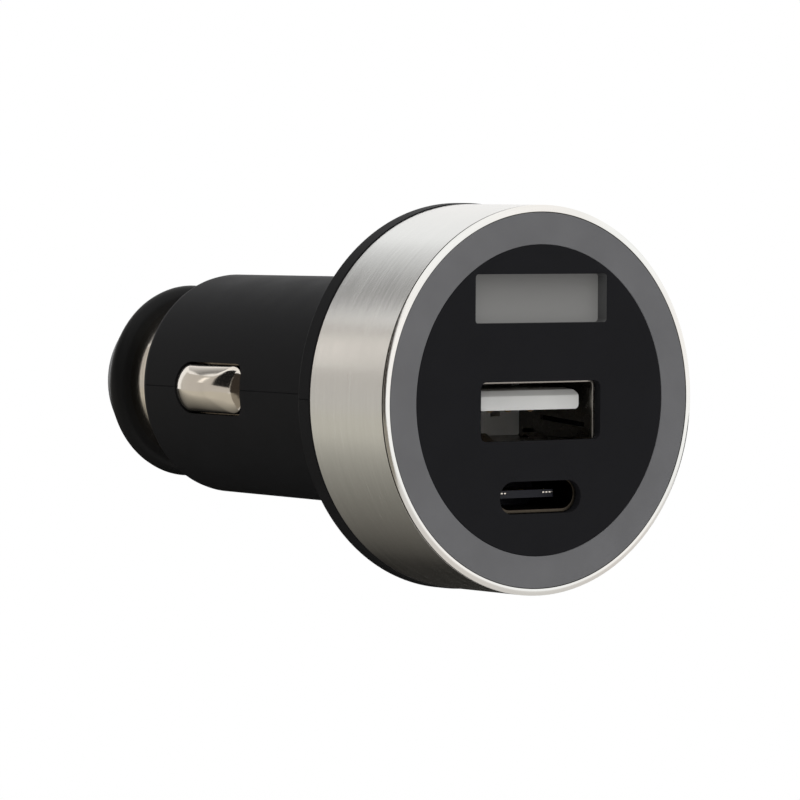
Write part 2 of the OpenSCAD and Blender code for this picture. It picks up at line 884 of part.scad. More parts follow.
module inductor_coil() {
  flange = 1.2;
  wire = 0.7;
  inner = inductor_d / 4 + fit_gap;
  outer = inductor_d / 2 - 0.3;
  rounds = floor((inductor_h - 2 * flange - 2 * fit_gap) / wire);
  low = flange + (inductor_h - 2 * flange - rounds * wire) / 2;
  color([0.72, 0.36, 0.16])
    translate([0, inductor_y, board_top])
      rotate_extrude() {
        translate([inner, low])
          square([outer - wire / 2 - inner, rounds * wire]);
        for (i = [0:rounds - 1])
          translate([outer - wire / 2, low + (i + 0.5) * wire])
            circle(wire / 2);
      }
}

// A round capacitor can with a crimped groove near its base, lying along the board
module capacitor(y, d, len) {
  r = d / 2;
  translate([0, y, board_top + r])
    turned()
      polygon(concat(
        [[0, 0.15], [r - 0.9, 0.15], [r - 0.7, 0]], arc(r - 0.3, 0.3, 0.3, -90, 0, 3),
        [[r, 1.2], [r - 0.35, 1.5], [r - 0.35, 1.7], [r, 2]], arc(r - 0.3, len - 0.3, 0.3, 0, 90, 3),
        [[0, len]]));
}

module input_capacitor() {
  color([0.13, 0.16, 0.3])
    capacitor(input_cap_y, input_cap_d, input_cap_len);
}

module output_capacitor() {
  color([0.75, 0.75, 0.77])
    capacitor(output_cap_y, output_cap_d, output_cap_len);
}

// A small moulded package under the board, with its legs along both sides
module chip(y, w, len, t, legs) {
  difference() {
    union() {
      block([-w / 2, y, board_bottom - t], [w / 2, y + len, board_bottom - 0.1]);
      for (i = [0:legs - 1], s = [-1, 1])
        translate([s * (w / 2 + 0.3), y + len * (i + 0.5) / legs, board_bottom - t / 2])
          translate([-0.5, -0.2, -0.1])
            cube([1, 0.4, t / 2 + 0.1]);
    }
    translate([0.7 - w / 2, y + 0.7, board_bottom - t - 0.1])
      cylinder(r = 0.3, h = 0.2);
  }
}

module converter_chip() {
  color([0.08, 0.08, 0.09])
    chip(converter_y, chip_w, chip_len, chip_t, 4);
}

module charge_chip() {
  color([0.08, 0.08, 0.09])
    chip(charge_y, chip_w, chip_len, chip_t, 4);
}

module diode() {
  color([0.1, 0.1, 0.11])
    chip(diode_y, diode_w, diode_len, tall_part_t, 1);
}

// A ceramic fuse under the board with a plated cap at each end
module fuse() {
  half = fuse_w / 2;
  cap = 0.6;
  inset = 0.2;
  y1 = fuse_y + fuse_len;
  low = board_bottom - tall_part_t;
  color([0.9, 0.88, 0.82])
    union() {
      block([inset - half, fuse_y + 0.1, low + inset], [half - inset, y1 - 0.1, board_bottom - 0.1]);
      block([-half, fuse_y, low], [half, fuse_y + cap, board_bottom]);
      block([-half, y1 - cap, low], [half, y1, board_bottom]);
    }
}

// The plated neck: a foot inside the barrel, the polished stretch, and a screwed end for the nose
module neck_ring() {
  color([0.78, 0.76, 0.72])
    turned()
      polygon([[neck_ri, neck_foot_y], [neck_foot_r, neck_foot_y], [neck_foot_r, rear_inside - fit_gap],
        [neck_r, rear_inside - fit_gap], [neck_r, nose_front], [thread_r, nose_front],
        [thread_r, neck_end - thread_bevel], [thread_r - thread_bevel, neck_end], [neck_ri, neck_end]]);
}

// The insulating cup that keeps the tip and its spring off the neck
module insulator_cup() {
  color([0.85, 0.85, 0.82])
    turned()
      polygon([[stem_hole_r, cup_floor_y - cup_foot_t], [cup_foot_r, cup_floor_y - cup_foot_t],
        [cup_foot_r, cup_floor_y], [cup_r, cup_floor_y], [cup_r, cup_end], [cup_ri, cup_end],
        [cup_ri, cup_floor_y + cup_floor_t], [stem_hole_r, cup_floor_y + cup_floor_t]]);
}

// The black nose: a rounded rim, a tapered end and a cavity that screws over the neck
module nose_cap() {
  face = neck_r + 0.1;
  rim_land = 0.35;
  end_round = 0.8;
  color([0.13, 0.13, 0.135])
    turned()
      polygon(concat(
        [[thread_r + fit_gap, nose_front]],
        [for (i = [0:8]) let (t = 90 * i / 8)
          [face + (nose_r - face) * sin(t), nose_front + nose_rim_y * (1 - cos(t))]],
        [[nose_r - 0.1, nose_front + nose_rim_y + rim_land]],
        arc(neck_r - 2, nose_end - end_round, end_round, 30, 90, 4),
        [[tip_r + slide_gap, nose_end], [tip_r + slide_gap, cavity_end],
          [thread_r + fit_gap, cavity_end]]));
}

// The tip contact: a domed pin, a flange that stops it, and a pilot that centres the spring
module tip_contact() {
  dome = 1.1;
  color([0.8, 0.78, 0.74])
    turned()
      polygon(concat(
        [[0, tip_flange_y - pilot_len], [pilot_r - 0.3, tip_flange_y - pilot_len],
          [pilot_r, tip_flange_y - pilot_len + 0.3], [pilot_r, tip_flange_y],
          [tip_flange_r, tip_flange_y], [tip_flange_r, tip_flange_end], [tip_r, tip_flange_end]],
        [for (i = [0:8]) let (t = 90 * i / 8)
          [tip_r * cos(t), tip_end - dome + dome * sin(t)]]));
}

// The coil spring: closed turns at both ends and even turns between them
function spring_rise(turn) =
  let (dead = 0.8, close = wire_d * 1.04, free = seat_to_flange - wire_d - 2 * dead * close,
    pitch = free / (spring_turns - 2 * dead))
  turn < dead ? turn * close
  : turn > spring_turns - dead ? seat_to_flange - wire_d - (spring_turns - turn) * close
  : dead * close + (turn - dead) * pitch;

module tip_spring() {
  steps = 20;
  sides = 8;
  rings = spring_turns * steps;
  points = [for (i = [0:rings], j = [0:sides - 1])
    let (a = 360 * i / steps, b = 360 * j / sides, r = spring_r + wire_d / 2 * cos(b))
    [r * cos(a), seat_y + wire_d / 2 + spring_rise(i / steps) + wire_d / 2 * sin(b), -r * sin(a)]];
  skin = [for (i = [0:rings - 1], j = [0:sides - 1]) let (k = (j + 1) % sides)
    [i * sides + j, (i + 1) * sides + j, (i + 1) * sides + k, i * sides + k]];
  near = [[for (j = [0:sides - 1]) j]];
  end = [[for (j = [sides - 1:-1:0]) rings * sides + j]];
  color([0.7, 0.7, 0.72])
    polyhedron(points, concat(skin, near, end));
}

// The brass terminal: a disc under the spring, a stem and a strip down to the main board
module tip_terminal() {
  color([0.83, 0.66, 0.33])
    union() {
      bar(cup_ri - slide_gap, seat_y - terminal_t, seat_y);
      bar(stem_r, strip_y, seat_y - terminal_t);
      block([-1, strip_y, board_top], [1, strip_y + terminal_t, stem_r]);
    }
}

// A dome over an outline: straight walls at first, then rounded over to a crowned top. The shares are
// the dome's height towards the nose and towards the head against its height in the middle.
module dome_form(shrink) {
  half = dome_half - shrink;
  y0 = slot_y + dome_end_gap + shrink;
  y1 = slot_end - dome_end_gap - shrink;
  wall_top = barrel_r - 0.45;
  rise = dome_top - shrink - wall_top;
  corner = 1.1 - shrink / 2;
  nose_share = 0.86;
  head_share = 0.72;
  crown_reach = 1.3;
  hull() {
    outward(flange_x - contact_sheet, wall_top)
      slot_outline(dome_side_gap + shrink, dome_end_gap + shrink);
    translate([wall_top, y1 - half, 0])
      scale([rise * nose_share / half, 1, 1])
        sphere(half, $fn = 48);
    for (s = [-1, 1])
      translate([wall_top, y0 + corner, s * (half - corner)])
        scale([rise * head_share / corner, 1, 1])
          sphere(corner, $fn = 48);
    translate([wall_top, (y0 + y1) / 2 - 0.3, 0])
      scale([rise / half, crown_reach, 1])
        sphere(half, $fn = 48);
  }
}

// A side contact on the +X side: a pressed dome on a flange, with a wiper down to the main board
module side_contact() {
  difference() {
    union() {
      block([flange_x - contact_sheet, contact_y0, -flange_half], [flange_x, contact_y1, flange_half]);
      dome_form(0);
      block([wiper_x, wiper_y, -flange_half], [flange_x - contact_sheet + 0.1, wiper_y + wiper_w,
        contact_sheet - flange_half]);
      block([wiper_x, wiper_y, board_top + fit_gap], [wiper_x + contact_sheet, wiper_y + wiper_w,
        contact_sheet - flange_half]);
    }
    translate([-0.01, 0, 0])
      dome_form(contact_sheet);
  }
}

module left_contact() {
  color([0.8, 0.78, 0.74])
    mirror([1, 0, 0])
      side_contact();
}

module right_contact() {
  color([0.8, 0.78, 0.74])
    side_contact();
}

upper_shell();
lower_shell();
trim_ring();
light_ring();
face_plate();
display_window();
digit_module();
display_board();
for (i = [1:lamps]) lamp(i);
main_board();
port_board();
wide_port_shell();
wide_port_tongue();
for (i = [1:4]) wide_port_contact(i);
small_port_shell();
small_port_tongue();
small_port_contacts();
header_block();
header_pins();
inductor_core();
inductor_coil();
input_capacitor();
output_capacitor();
converter_chip();
charge_chip();
diode();
fuse();
neck_ring();
insulator_cup();
nose_cap();
tip_contact();
tip_spring();
tip_terminal();
left_contact();
right_contact();
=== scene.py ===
"""Dresses the fixed solids of a two-port car charger plug: fine forms, finishes, studio and camera.

Lengths are in metres and in the plug's own frame: +Y runs from the face to the tip, +Z is up, and the
origin is on the axis at the rear face of the collar.
"""

import logging
import math
from collections.abc import Callable, Sequence
from dataclasses import dataclass, field
from enum import Enum
from functools import cache
from typing import Any

import bmesh
import bpy
from mathutils import Matrix, Vector


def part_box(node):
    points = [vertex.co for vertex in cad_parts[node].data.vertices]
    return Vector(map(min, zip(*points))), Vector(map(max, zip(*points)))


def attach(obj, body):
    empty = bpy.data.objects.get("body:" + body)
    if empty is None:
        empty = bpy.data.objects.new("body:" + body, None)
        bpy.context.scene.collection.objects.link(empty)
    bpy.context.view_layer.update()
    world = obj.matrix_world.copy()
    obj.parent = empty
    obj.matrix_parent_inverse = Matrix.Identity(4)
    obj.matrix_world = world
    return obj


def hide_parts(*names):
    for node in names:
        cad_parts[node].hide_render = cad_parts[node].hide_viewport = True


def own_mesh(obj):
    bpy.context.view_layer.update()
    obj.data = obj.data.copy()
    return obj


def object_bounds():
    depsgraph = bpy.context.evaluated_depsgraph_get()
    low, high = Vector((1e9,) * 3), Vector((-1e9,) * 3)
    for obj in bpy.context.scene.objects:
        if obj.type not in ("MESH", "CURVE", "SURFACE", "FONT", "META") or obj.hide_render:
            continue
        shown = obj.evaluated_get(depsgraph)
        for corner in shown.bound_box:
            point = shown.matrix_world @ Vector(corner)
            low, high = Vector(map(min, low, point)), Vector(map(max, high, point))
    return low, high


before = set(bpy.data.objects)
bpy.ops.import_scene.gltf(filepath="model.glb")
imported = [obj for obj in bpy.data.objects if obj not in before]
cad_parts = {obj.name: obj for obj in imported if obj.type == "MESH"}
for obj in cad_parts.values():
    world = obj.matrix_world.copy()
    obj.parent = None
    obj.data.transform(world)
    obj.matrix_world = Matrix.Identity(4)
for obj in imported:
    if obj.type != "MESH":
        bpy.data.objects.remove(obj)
cad_low, cad_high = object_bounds()

LOG = logging.getLogger("charger_plug")
MM = 0.001
CLOSE = 1e-7
NOISE_RANGE = (0.3, 0.7)
WHITE = (1.0, 1.0, 1.0)
Colour = tuple[float, float, float]
Point = tuple[float, float]
Corner = tuple[float, float, float]
Stop = tuple[float, Colour]


class Axis(Enum):
    """The direction that a flat outline is carried in."""

    ALONG = "y"
    OUTWARD = "x"
    UPWARD = "z"


class Side(Enum):
    """The side of the plug that a piece belongs to, as the sign of its place."""

    LOW = -1
    HIGH = 1


# Shader expressions


class Signal:
    """A shader socket that takes part in Python expressions."""

    def __init__(self, graph: "Graph", socket: bpy.types.NodeSocket) -> None:
        """Keeps the socket with the graph that it belongs to."""
        self.graph = graph
        self.socket = socket

    def _math(self, operation: str, first: Any, second: Any = 0.0) -> "Signal":
        """Adds one Math node.

        Args:
            operation: the Math node's operation.
            first: its first value or signal.
            second: its second value or signal.

        Returns:
            The node's result.
        """
        return self.graph.node("ShaderNodeMath", {"operation": operation}, {0: first, 1: second})

    def __add__(self, other: Any) -> "Signal":
        """Adds a value or signal."""
        return self._math("ADD", self, other)

    __radd__ = __add__

    def __mul__(self, other: Any) -> "Signal":
        """Multiplies by a value or signal."""
        return self._math("MULTIPLY", self, other)

    __rmul__ = __mul__

    def __pow__(self, other: Any) -> "Signal":
        """Raises to a power."""
        return self._math("POWER", self, other)

    def most(self, other: Any) -> "Signal":
        """Gives the larger of two signals."""
        return self._math("MAXIMUM", self, other)

    def turn_from(self, other: "Signal") -> "Signal":
        """Gives the angle of this coordinate over another one."""
        return self._math("ARCTAN2", self, other)

    def wave(self) -> "Signal":
        """Gives the sine of an angle."""
        return self._math("SINE", self)


class Graph:
    """The node tree of a material or of the world."""

    def __init__(self, tree: bpy.types.NodeTree) -> None:
        """Takes over a tree and empties it."""
        self.tree = tree
        self.tree.nodes.clear()

    def node(
        self,
        kind: str,
        settings: dict[str, Any] | None = None,
        values: dict[int | str, Any] | None = None,
        output: int | str = 0,
    ) -> Signal:
        """Makes one node.

        Args:
            kind: the node's type.
            settings: its properties, and "stops" for a ramp, set before its sockets.
            values: numbers, colours or signals by socket name or index.
            output: the socket that is returned.

        Returns:
            The chosen output.
        """
        made = self.tree.nodes.new(kind)
        for name, setting in (settings or {}).items():
            if name == "stops":
                self._set_stops(made.color_ramp, setting)
            else:
                setattr(made, name, setting)
        for key, value in (values or {}).items():
            if isinstance(value, Signal):
                self.tree.links.new(value.socket, made.inputs[key])
            else:
                made.inputs[key].default_value = value
        outputs = made.outputs
        return Signal(self, outputs[output]) if outputs else Signal(self, made.inputs[0])

    @staticmethod
    def _set_stops(ramp: bpy.types.ColorRamp, stops: Sequence[Stop]) -> None:
        """Gives a ramp its stops, each a place from 0 to 1 and a colour."""
        while len(ramp.elements) < len(stops):
            ramp.elements.new(1.0)
        for element, (place, colour) in zip(ramp.elements, stops):
            element.position = place
            element.color = (*colour, 1.0)

    def spot(self, scale: Sequence[float] = (1.0, 1.0, 1.0)) -> Signal:
        """Gives the place on the object, stretched by a scale for each axis."""
        place = self.node("ShaderNodeTexCoord", output="Object")
        return self.node("ShaderNodeMapping", {}, {"Vector": place, "Scale": tuple(scale)})

    def part(self, vector: Signal, axis: int) -> Signal:
        """Gives one coordinate of a vector."""
        return self.node("ShaderNodeSeparateXYZ", {}, {0: vector}, output=axis)

    def noise(self, vector: Signal, scale: float, detail: float = 2.0, rough: float = 0.5) -> Signal:
        """Gives a noise from 0 to 1 at so many grains a metre."""
        return self.node(
            "ShaderNodeTexNoise", {}, {"Vector": vector, "Scale": scale, "Detail": detail, "Roughness": rough}
        )

    def remap(self, value: Signal, low: float, high: float, to_low: float, to_high: float) -> Signal:
        """Carries a range of a signal to another range, held at both ends."""
        return self.node(
            "ShaderNodeMapRange",
            {"clamp": True},
            {"Value": value, "From Min": low, "From Max": high, "To Min": to_low, "To Max": to_high},
        )

    def vary(self, noise: Signal, middle: float, reach: float) -> Signal:
        """Turns a noise into a value that stays within a reach of its middle."""
        return self.remap(noise, *NOISE_RANGE, middle - reach, middle + reach)

    def blend(self, factor: Any, first: Any, second: Any, mode: str = "MIX") -> Signal:
        """Mixes two colours in one of the Mix node's modes."""
        settings = {"data_type": "RGBA", "blend_type": mode}
        return self.node("ShaderNodeMix", settings, {0: factor, 6: paint(first), 7: paint(second)}, output=2)

    def shade(self, colour: Any, factor: Signal) -> Signal:
        """Makes a colour lighter or darker by a signal."""
        grey = self.node("ShaderNodeCombineXYZ", {}, {0: factor, 1: factor, 2: factor})
        return self.blend(1.0, colour, grey, "MULTIPLY")

    def bump(self, height: Signal, depth: float, strength: float = 1.0) -> Signal:
        """Turns a height from 0 to 1 into a normal, for a relief of so many metres."""
        return self.node("ShaderNodeBump", {}, {"Height": height, "Distance": depth, "Strength": strength})

    def glow(self, colour: Any, strength: float = 1.0) -> Signal:
        """Makes a shader that shines in one colour."""
        return self.node("ShaderNodeEmission", {}, {"Color": paint(colour), "Strength": strength})

    def end(self, shader: Signal, kind: str = "Material") -> None:
        """Links the last shader to the output of a material or of the world."""
        self.node(f"ShaderNodeOutput{kind}", {}, {"Surface": shader})


def paint(colour: Any) -> Any:
    """Gives a plain colour its fourth number, and leaves a signal as it is."""
    return colour if isinstance(colour, Signal) else (*colour, 1.0)


# Finishes


@dataclass(frozen=True)
class Finish:
    """A surface finish: its colour, gloss and the record's slot that it belongs to."""

    name: str
    slot: str
    colour: Colour
    roughness: float = 0.5
    metallic: float = 0.0
    gloss: float = 0.5
    grain: float = 6000.0
    depth: float = 2e-6

    @cache
    def material(self) -> bpy.types.Material:
        """Builds the material once.

        Returns:
            The material with its node tree.
        """
        made = bpy.data.materials.new(self.name)
        made.use_nodes = True
        graph = Graph(made.node_tree)
        values: dict[int | str, Any] = {
            "Base Color": paint(self.colour),
            "Roughness": self.roughness,
            "Metallic": self.metallic,
            "Specular IOR Level": self.gloss,
        }
        values.update(self.pattern(graph))
        graph.end(graph.node("ShaderNodeBsdfPrincipled", {}, values))
        return made

    def pattern(self, graph: Graph) -> dict[int | str, Any]:
        """Gives what changes over the surface: a fine moulded grain.

        Args:
            graph: the material's graph.

        Returns:
            Values and signals by the shader's socket names.
        """
        spot = graph.spot()
        fine = graph.noise(spot, self.grain, 3.0, 0.6)
        cloud = graph.noise(spot, self.grain / 30, 2.0)
        return {
            "Base Color": graph.shade(self.colour, graph.vary(cloud, 1.0, 0.06)),
            "Roughness": graph.vary(cloud * 0.5 + fine * 0.5, self.roughness, 0.05),
            "Normal": graph.bump(fine, self.depth),
        }


@dataclass(frozen=True)
class BrushedRound(Finish):
    """Steel brushed round the plug's axis, with faint warm and cool bands along its turn, which are a painted
    reflection of coloured surroundings.
    """

    streak: float = 160.0
    fine: float = 14000.0
    bands: float = 5.0

    def pattern(self, graph: Graph) -> dict[int | str, Any]:
        """Gives the brush lines, which run round the axis, and the painted reflection bands.

        Args:
            graph: the material's graph.

        Returns:
            Values and signals by the shader's socket names.
        """
        hair = graph.noise(graph.spot((self.streak, self.fine, self.streak)), 1.0, 3.0, 0.65)
        coarse = graph.noise(graph.spot((self.streak, self.fine / 5, self.streak)), 1.0, 2.0, 0.5)
        lines = hair * 0.6 + coarse * 0.4
        # painted reflection: warm and cool bands by the turn round the axis, for the tints of the
        # surroundings
        place = graph.spot()
        turn = graph.part(place, 2).turn_from(graph.part(place, 0))
        warm = graph.remap((turn * self.bands).wave(), -1.0, 1.0, 0.0, 1.0)
        reflection_tint = graph.blend(warm, (0.985, 1.0, 1.0), (1.0, 0.985, 0.97))
        body = graph.blend(1.0, self.colour, reflection_tint, "MULTIPLY")
        return {
            "Base Color": graph.shade(body, graph.vary(lines, 1.0, 0.045)),
            "Roughness": graph.vary(lines, self.roughness, 0.05),
            "Normal": graph.bump(lines, self.depth),
        }


@dataclass(frozen=True)
class Plated(Finish):
    """Bright plate over a stamped or turned piece, with a slight ripple."""

    ripple: float = 500.0

    def pattern(self, graph: Graph) -> dict[int | str, Any]:
        """Gives a soft ripple and a faint change of gloss.

        Args:
            graph: the material's graph.

        Returns:
            Values and signals by the shader's socket names.
        """
        spot = graph.spot()
        wave = graph.noise(spot, self.ripple, 2.0)
        fine = graph.noise(spot, self.grain, 2.0)
        return {
            "Base Color": graph.shade(self.colour, graph.vary(wave, 1.0, 0.04)),
            "Roughness": graph.vary(fine, self.roughness, self.roughness * 0.2),
            "Normal": graph.bump(wave * 0.8 + fine * 0.2, self.depth),
        }


@dataclass(frozen=True)
class ShadedPortMetal(Plated):
    """Port metal with painted shade: bright along its front edge and darkened inside, where little light
    comes.
    """

    front: float = -11.8 * MM
    # share of the colour left deep inside the port, as painted shade
    inner: float = 0.45

    def pattern(self, graph: Graph) -> dict[int | str, Any]:
        """Gives the plate's look, with painted shade that darkens it behind the front edge.

        Args:
            graph: the material's graph.

        Returns:
            Values and signals by the shader's socket names.
        """
        values = super().pattern(graph)
        # painted shade: the colour darkens from the front edge inwards
        start, end = self.front + 0.04 * MM, self.front + 0.25 * MM
        deep = graph.remap(graph.part(graph.spot(), 1), start, end, 1.0, self.inner)
        return {**values, "Base Color": graph.shade(values["Base Color"], deep)}


@dataclass(frozen=True)
class GlowingPane(Finish):
    """A window with a painted glow, whose grey and glow grow lighter from its top to its bottom."""

    top_colour: Colour = WHITE
    # painted glow at the bottom and at the top: the window is no lamp
    light: Colour = (0.085, 0.0845, 0.083)
    top_light: Colour = (0.05, 0.0495, 0.048)
    top: float = 0.0
    bottom: float = 0.0

    def pattern(self, graph: Graph) -> dict[int | str, Any]:
        """Gives the fade from top to bottom, in the grey and in the painted glow.

        Args:
            graph: the material's graph.

        Returns:
            Values and signals by the shader's socket names.
        """
        spot = graph.spot()
        fade = graph.remap(graph.part(spot, 2), self.bottom, self.top, 0.0, 1.0)
        return {
            "Base Color": graph.blend(fade, self.colour, self.top_colour),
            "Emission Color": graph.blend(fade, self.light, self.top_light),
            "Emission Strength": 1.0,
            "Roughness": graph.vary(graph.noise(spot, self.grain), self.roughness, 0.03),
        }


SHELL_BLACK = Finish(
    "shell_black", "shell_black", (0.0105, 0.0105, 0.0112), 0.5, gloss=0.045, grain=9000, depth=6e-6
)
FACE_BLACK = Finish(
    "face_black", "face_black", (0.0106, 0.0106, 0.012), 0.55, gloss=0.05, grain=9000, depth=1e-6
)
LIGHT_GREY = Finish(
    "light_guide", "light_guide", (0.145, 0.145, 0.15), 0.6, gloss=0.12, grain=7000, depth=1e-6
)
# painted shade: a dark copy of the steel for the groove in the trim ring
GROOVE_SHADE = Finish("steel_groove_shade", "steel_brushed", (0.03, 0.024, 0.018), 0.6, gloss=0.2, depth=1e-6)
NOSE_BLACK = Finish(
    "nose_black", "nose_black", (0.0075, 0.0075, 0.0075), 0.42, gloss=0.12, grain=9000, depth=4e-6
)
STEEL_SIDE = BrushedRound("steel_side", "steel_brushed", (0.79, 0.78, 0.76), 0.23, 1.0, depth=1.3e-6)
STEEL_LIP = BrushedRound("steel_lip", "steel_brushed", (0.9, 0.885, 0.855), 0.14, 1.0, depth=4e-7)
NICKEL = Plated("nickel", "nickel", (0.78, 0.72, 0.64), 0.11, 1.0, depth=4e-6)
PORT_STEEL = ShadedPortMetal("port_steel", "port_steel", (0.36, 0.335, 0.3), 0.32, 1.0, depth=1e-6)
# painted shade: a darker copy of the nickel for the flange and wiper behind the slot
SHEET_SHADE = Plated("contact_sheet", "nickel", (0.3, 0.25, 0.19), 0.3, 1.0, depth=2e-6)
# painted shade: a darker copy of the port steel for the small port's shell
PORT_STEEL_SHADED = ShadedPortMetal("port_steel_shaded", "port_steel", (0.075, 0.062, 0.047), 0.4, 1.0, depth=1e-6)
PORT_GOLD = Plated("port_gold", "contact_gold", (0.9, 0.62, 0.27), 0.5, 0.5, depth=1e-6)
# painted shade: a black sheet behind the wide port's side slits
SLIT_SHADE = Finish("port_slit_shade", "module_black", (0.003, 0.003, 0.003), 0.6, gloss=0.1)
# painted light: a lighter copy of the face black for the display recess walls
RECESS_LIT = Finish("recess_painted_light", "face_black", (0.078, 0.078, 0.078), 0.6, gloss=0.1, grain=9000, depth=1e-6)
GOLD = Plated("contact_gold", "contact_gold", (0.85, 0.6, 0.28), 0.3, 1.0, depth=2e-6)
BRASS = Plated("brass_plain", "brass_plain", (0.72, 0.55, 0.28), 0.28, 1.0, depth=3e-6)
SPRING = Plated("spring_steel", "spring_steel", (0.5, 0.5, 0.52), 0.3, 1.0, depth=2e-6)
CAN = Plated("capacitor_can", "capacitor_can", (0.7, 0.7, 0.72), 0.3, 1.0, depth=2e-6)
COPPER = Plated("copper_wire", "copper_wire", (0.6, 0.22, 0.08), 0.35, 1.0, depth=2e-6)
PALE = Finish("tongue_pale", "tongue_pale", (0.72, 0.72, 0.7), 0.45, gloss=0.4)
DARK = Finish("tongue_dark", "tongue_dark", (0.011, 0.0115, 0.019), 0.4, gloss=0.25)
MODULE = Finish("module_black", "module_black", (0.03, 0.03, 0.03), 0.5)
BOARD = Finish("board_green", "board_green", (0.01, 0.09, 0.04), 0.35)
LAMP = Finish("lamp_white", "lamp_white", (0.85, 0.83, 0.7), 0.25)
FERRITE = Finish("ferrite", "ferrite", (0.05, 0.05, 0.055), 0.6)
SLEEVE = Finish("capacitor_blue", "capacitor_blue", (0.015, 0.02, 0.08), 0.3)
CHIP = Finish("chip_black", "chip_black", (0.02, 0.02, 0.022), 0.55)
CERAMIC = Finish("fuse_ceramic", "fuse_ceramic", (0.8, 0.76, 0.66), 0.35)
CUP = Finish("cup_white", "cup_white", (0.75, 0.75, 0.7), 0.5)

NODE_FINISHES: dict[str, Finish] = {
    "digit_module": MODULE,
    "display_board": BOARD,
    "lamp": LAMP,
    "main_board": BOARD,
    "port_board": BOARD,
    "small_port_tongue": DARK,
    "small_port_contacts": GOLD,
    "header_block": MODULE,
    "header_pins": GOLD,
    "inductor_core": FERRITE,
    "inductor_coil": COPPER,
    "input_capacitor": SLEEVE,
    "output_capacitor": CAN,
    "converter_chip": CHIP,
    "charge_chip": CHIP,
    "diode": CHIP,
    "fuse": CERAMIC,
    "insulator_cup": CUP,
    "tip_terminal": BRASS,
}


# Forms


@dataclass
class Outline:
    """A flat outline given by its corners, each with a fillet radius, 0 for a sharp one."""

    corners: Sequence[Corner]
    segments: int = 6

    def points(self) -> list[Point]:
        """Works out the outline with its fillets.

        Returns:
            The points in order, with each fillet as an arc.
        """
        made: list[Point] = []
        count = len(self.corners)
        for i, (x, y, radius) in enumerate(self.corners):
            corner = Vector((x, y))
            before = (Vector(self.corners[i - 1][:2]) - corner).normalized()
            after = (Vector(self.corners[(i + 1) % count][:2]) - corner).normalized()
            half = before.angle(after) / 2
            if radius <= 0 or half > math.pi / 2 - 1e-4:
                made.append((x, y))
                continue
            centre = corner + (before + after).normalized() * radius / math.sin(half)
            start = corner + before * radius / math.tan(half) - centre
            sweep = start.angle_signed(corner + after * radius / math.tan(half) - centre)
            for k in range(self.segments + 1):
                turned = start.copy()
                turned.rotate(Matrix.Rotation(-sweep * k / self.segments, 2))
                made.append(tuple(centre + turned))
        return [p for i, p in enumerate(made) if math.dist(p, made[i - 1]) > CLOSE]


def rectangle(
    width: float, height: float, radius: float, centre: Point = (0.0, 0.0), segments: int = 6
) -> list[Point]:
    """Gives a rectangle with round corners.

    Args:
        width: its size in the first direction.
        height: its size in the second.
        radius: the corners' radius.
        centre: its middle.
        segments: steps in each corner's arc.

    Returns:
        The outline's points.
    """
    x, y = centre
    w, h = width / 2, height / 2
    corners = [(x - w, y - h, radius), (x + w, y - h, radius), (x + w, y + h, radius), (x - w, y + h, radius)]
    return Outline(corners, segments).points()


def spread(outline: Sequence[Point], step: float) -> list[Point]:
    """Gives an outline with more points along its long straight edges.

    Args:
        outline: its points.
        step: the longest edge that stays whole.

    Returns:
        The points with the new ones between them.
    """
    made: list[Point] = []
    for i, (x, y) in enumerate(outline):
        next_x, next_y = outline[(i + 1) % len(outline)]
        count = max(1, math.ceil(math.dist((x, y), (next_x, next_y)) / step))
        made += [(x + (next_x - x) * k / count, y + (next_y - y) * k / count) for k in range(count)]
    return made


def ribbon(path: Sequence[Point], thickness: float) -> list[Point]:
    """Gives the outline of a bent strip.

    Args:
        path: its middle line.
        thickness: its thickness.

    Returns:
        The outline's points, along one side and back along the other.
    """
    borders: dict[Side, list[Point]] = {Side.LOW: [], Side.HIGH: []}
    for i, spot in enumerate(path):
        ahead = Vector(path[min(i + 1, len(path) - 1)]) - Vector(path[max(i - 1, 0)])
        across = Vector((-ahead.y, ahead.x)).normalized() * thickness / 2
        for side, edge in borders.items():
            edge.append(tuple(Vector(spot) + across * side.value))
    return borders[Side.HIGH] + borders[Side.LOW][::-1]


def sides(near: float, far: float) -> list[Point]:
    """Gives a range of X on the left side and its mirror on the right side, each from low to high."""
    return [(-far, -near), (near, far)]


def on_front_edge(place: float) -> Callable[[bmesh.types.BMEdge], bool]:
    """Gives a test for the sharp edges of a front face.

    Args:
        place: the front face's place along the plug.

    Returns:
        A function that tells whether an edge is one of them.
    """
    return lambda edge: (
        all(abs(v.co.y - place) < CLOSE for v in edge.verts) and edge.calc_face_angle(0.0) > 0.5
    )


def placed(name: str, data: Any) -> bpy.types.Object:
    """Makes an object of some data and links it to the scene."""
    made = bpy.data.objects.new(name, data)
    bpy.context.scene.collection.objects.link(made)
    return made


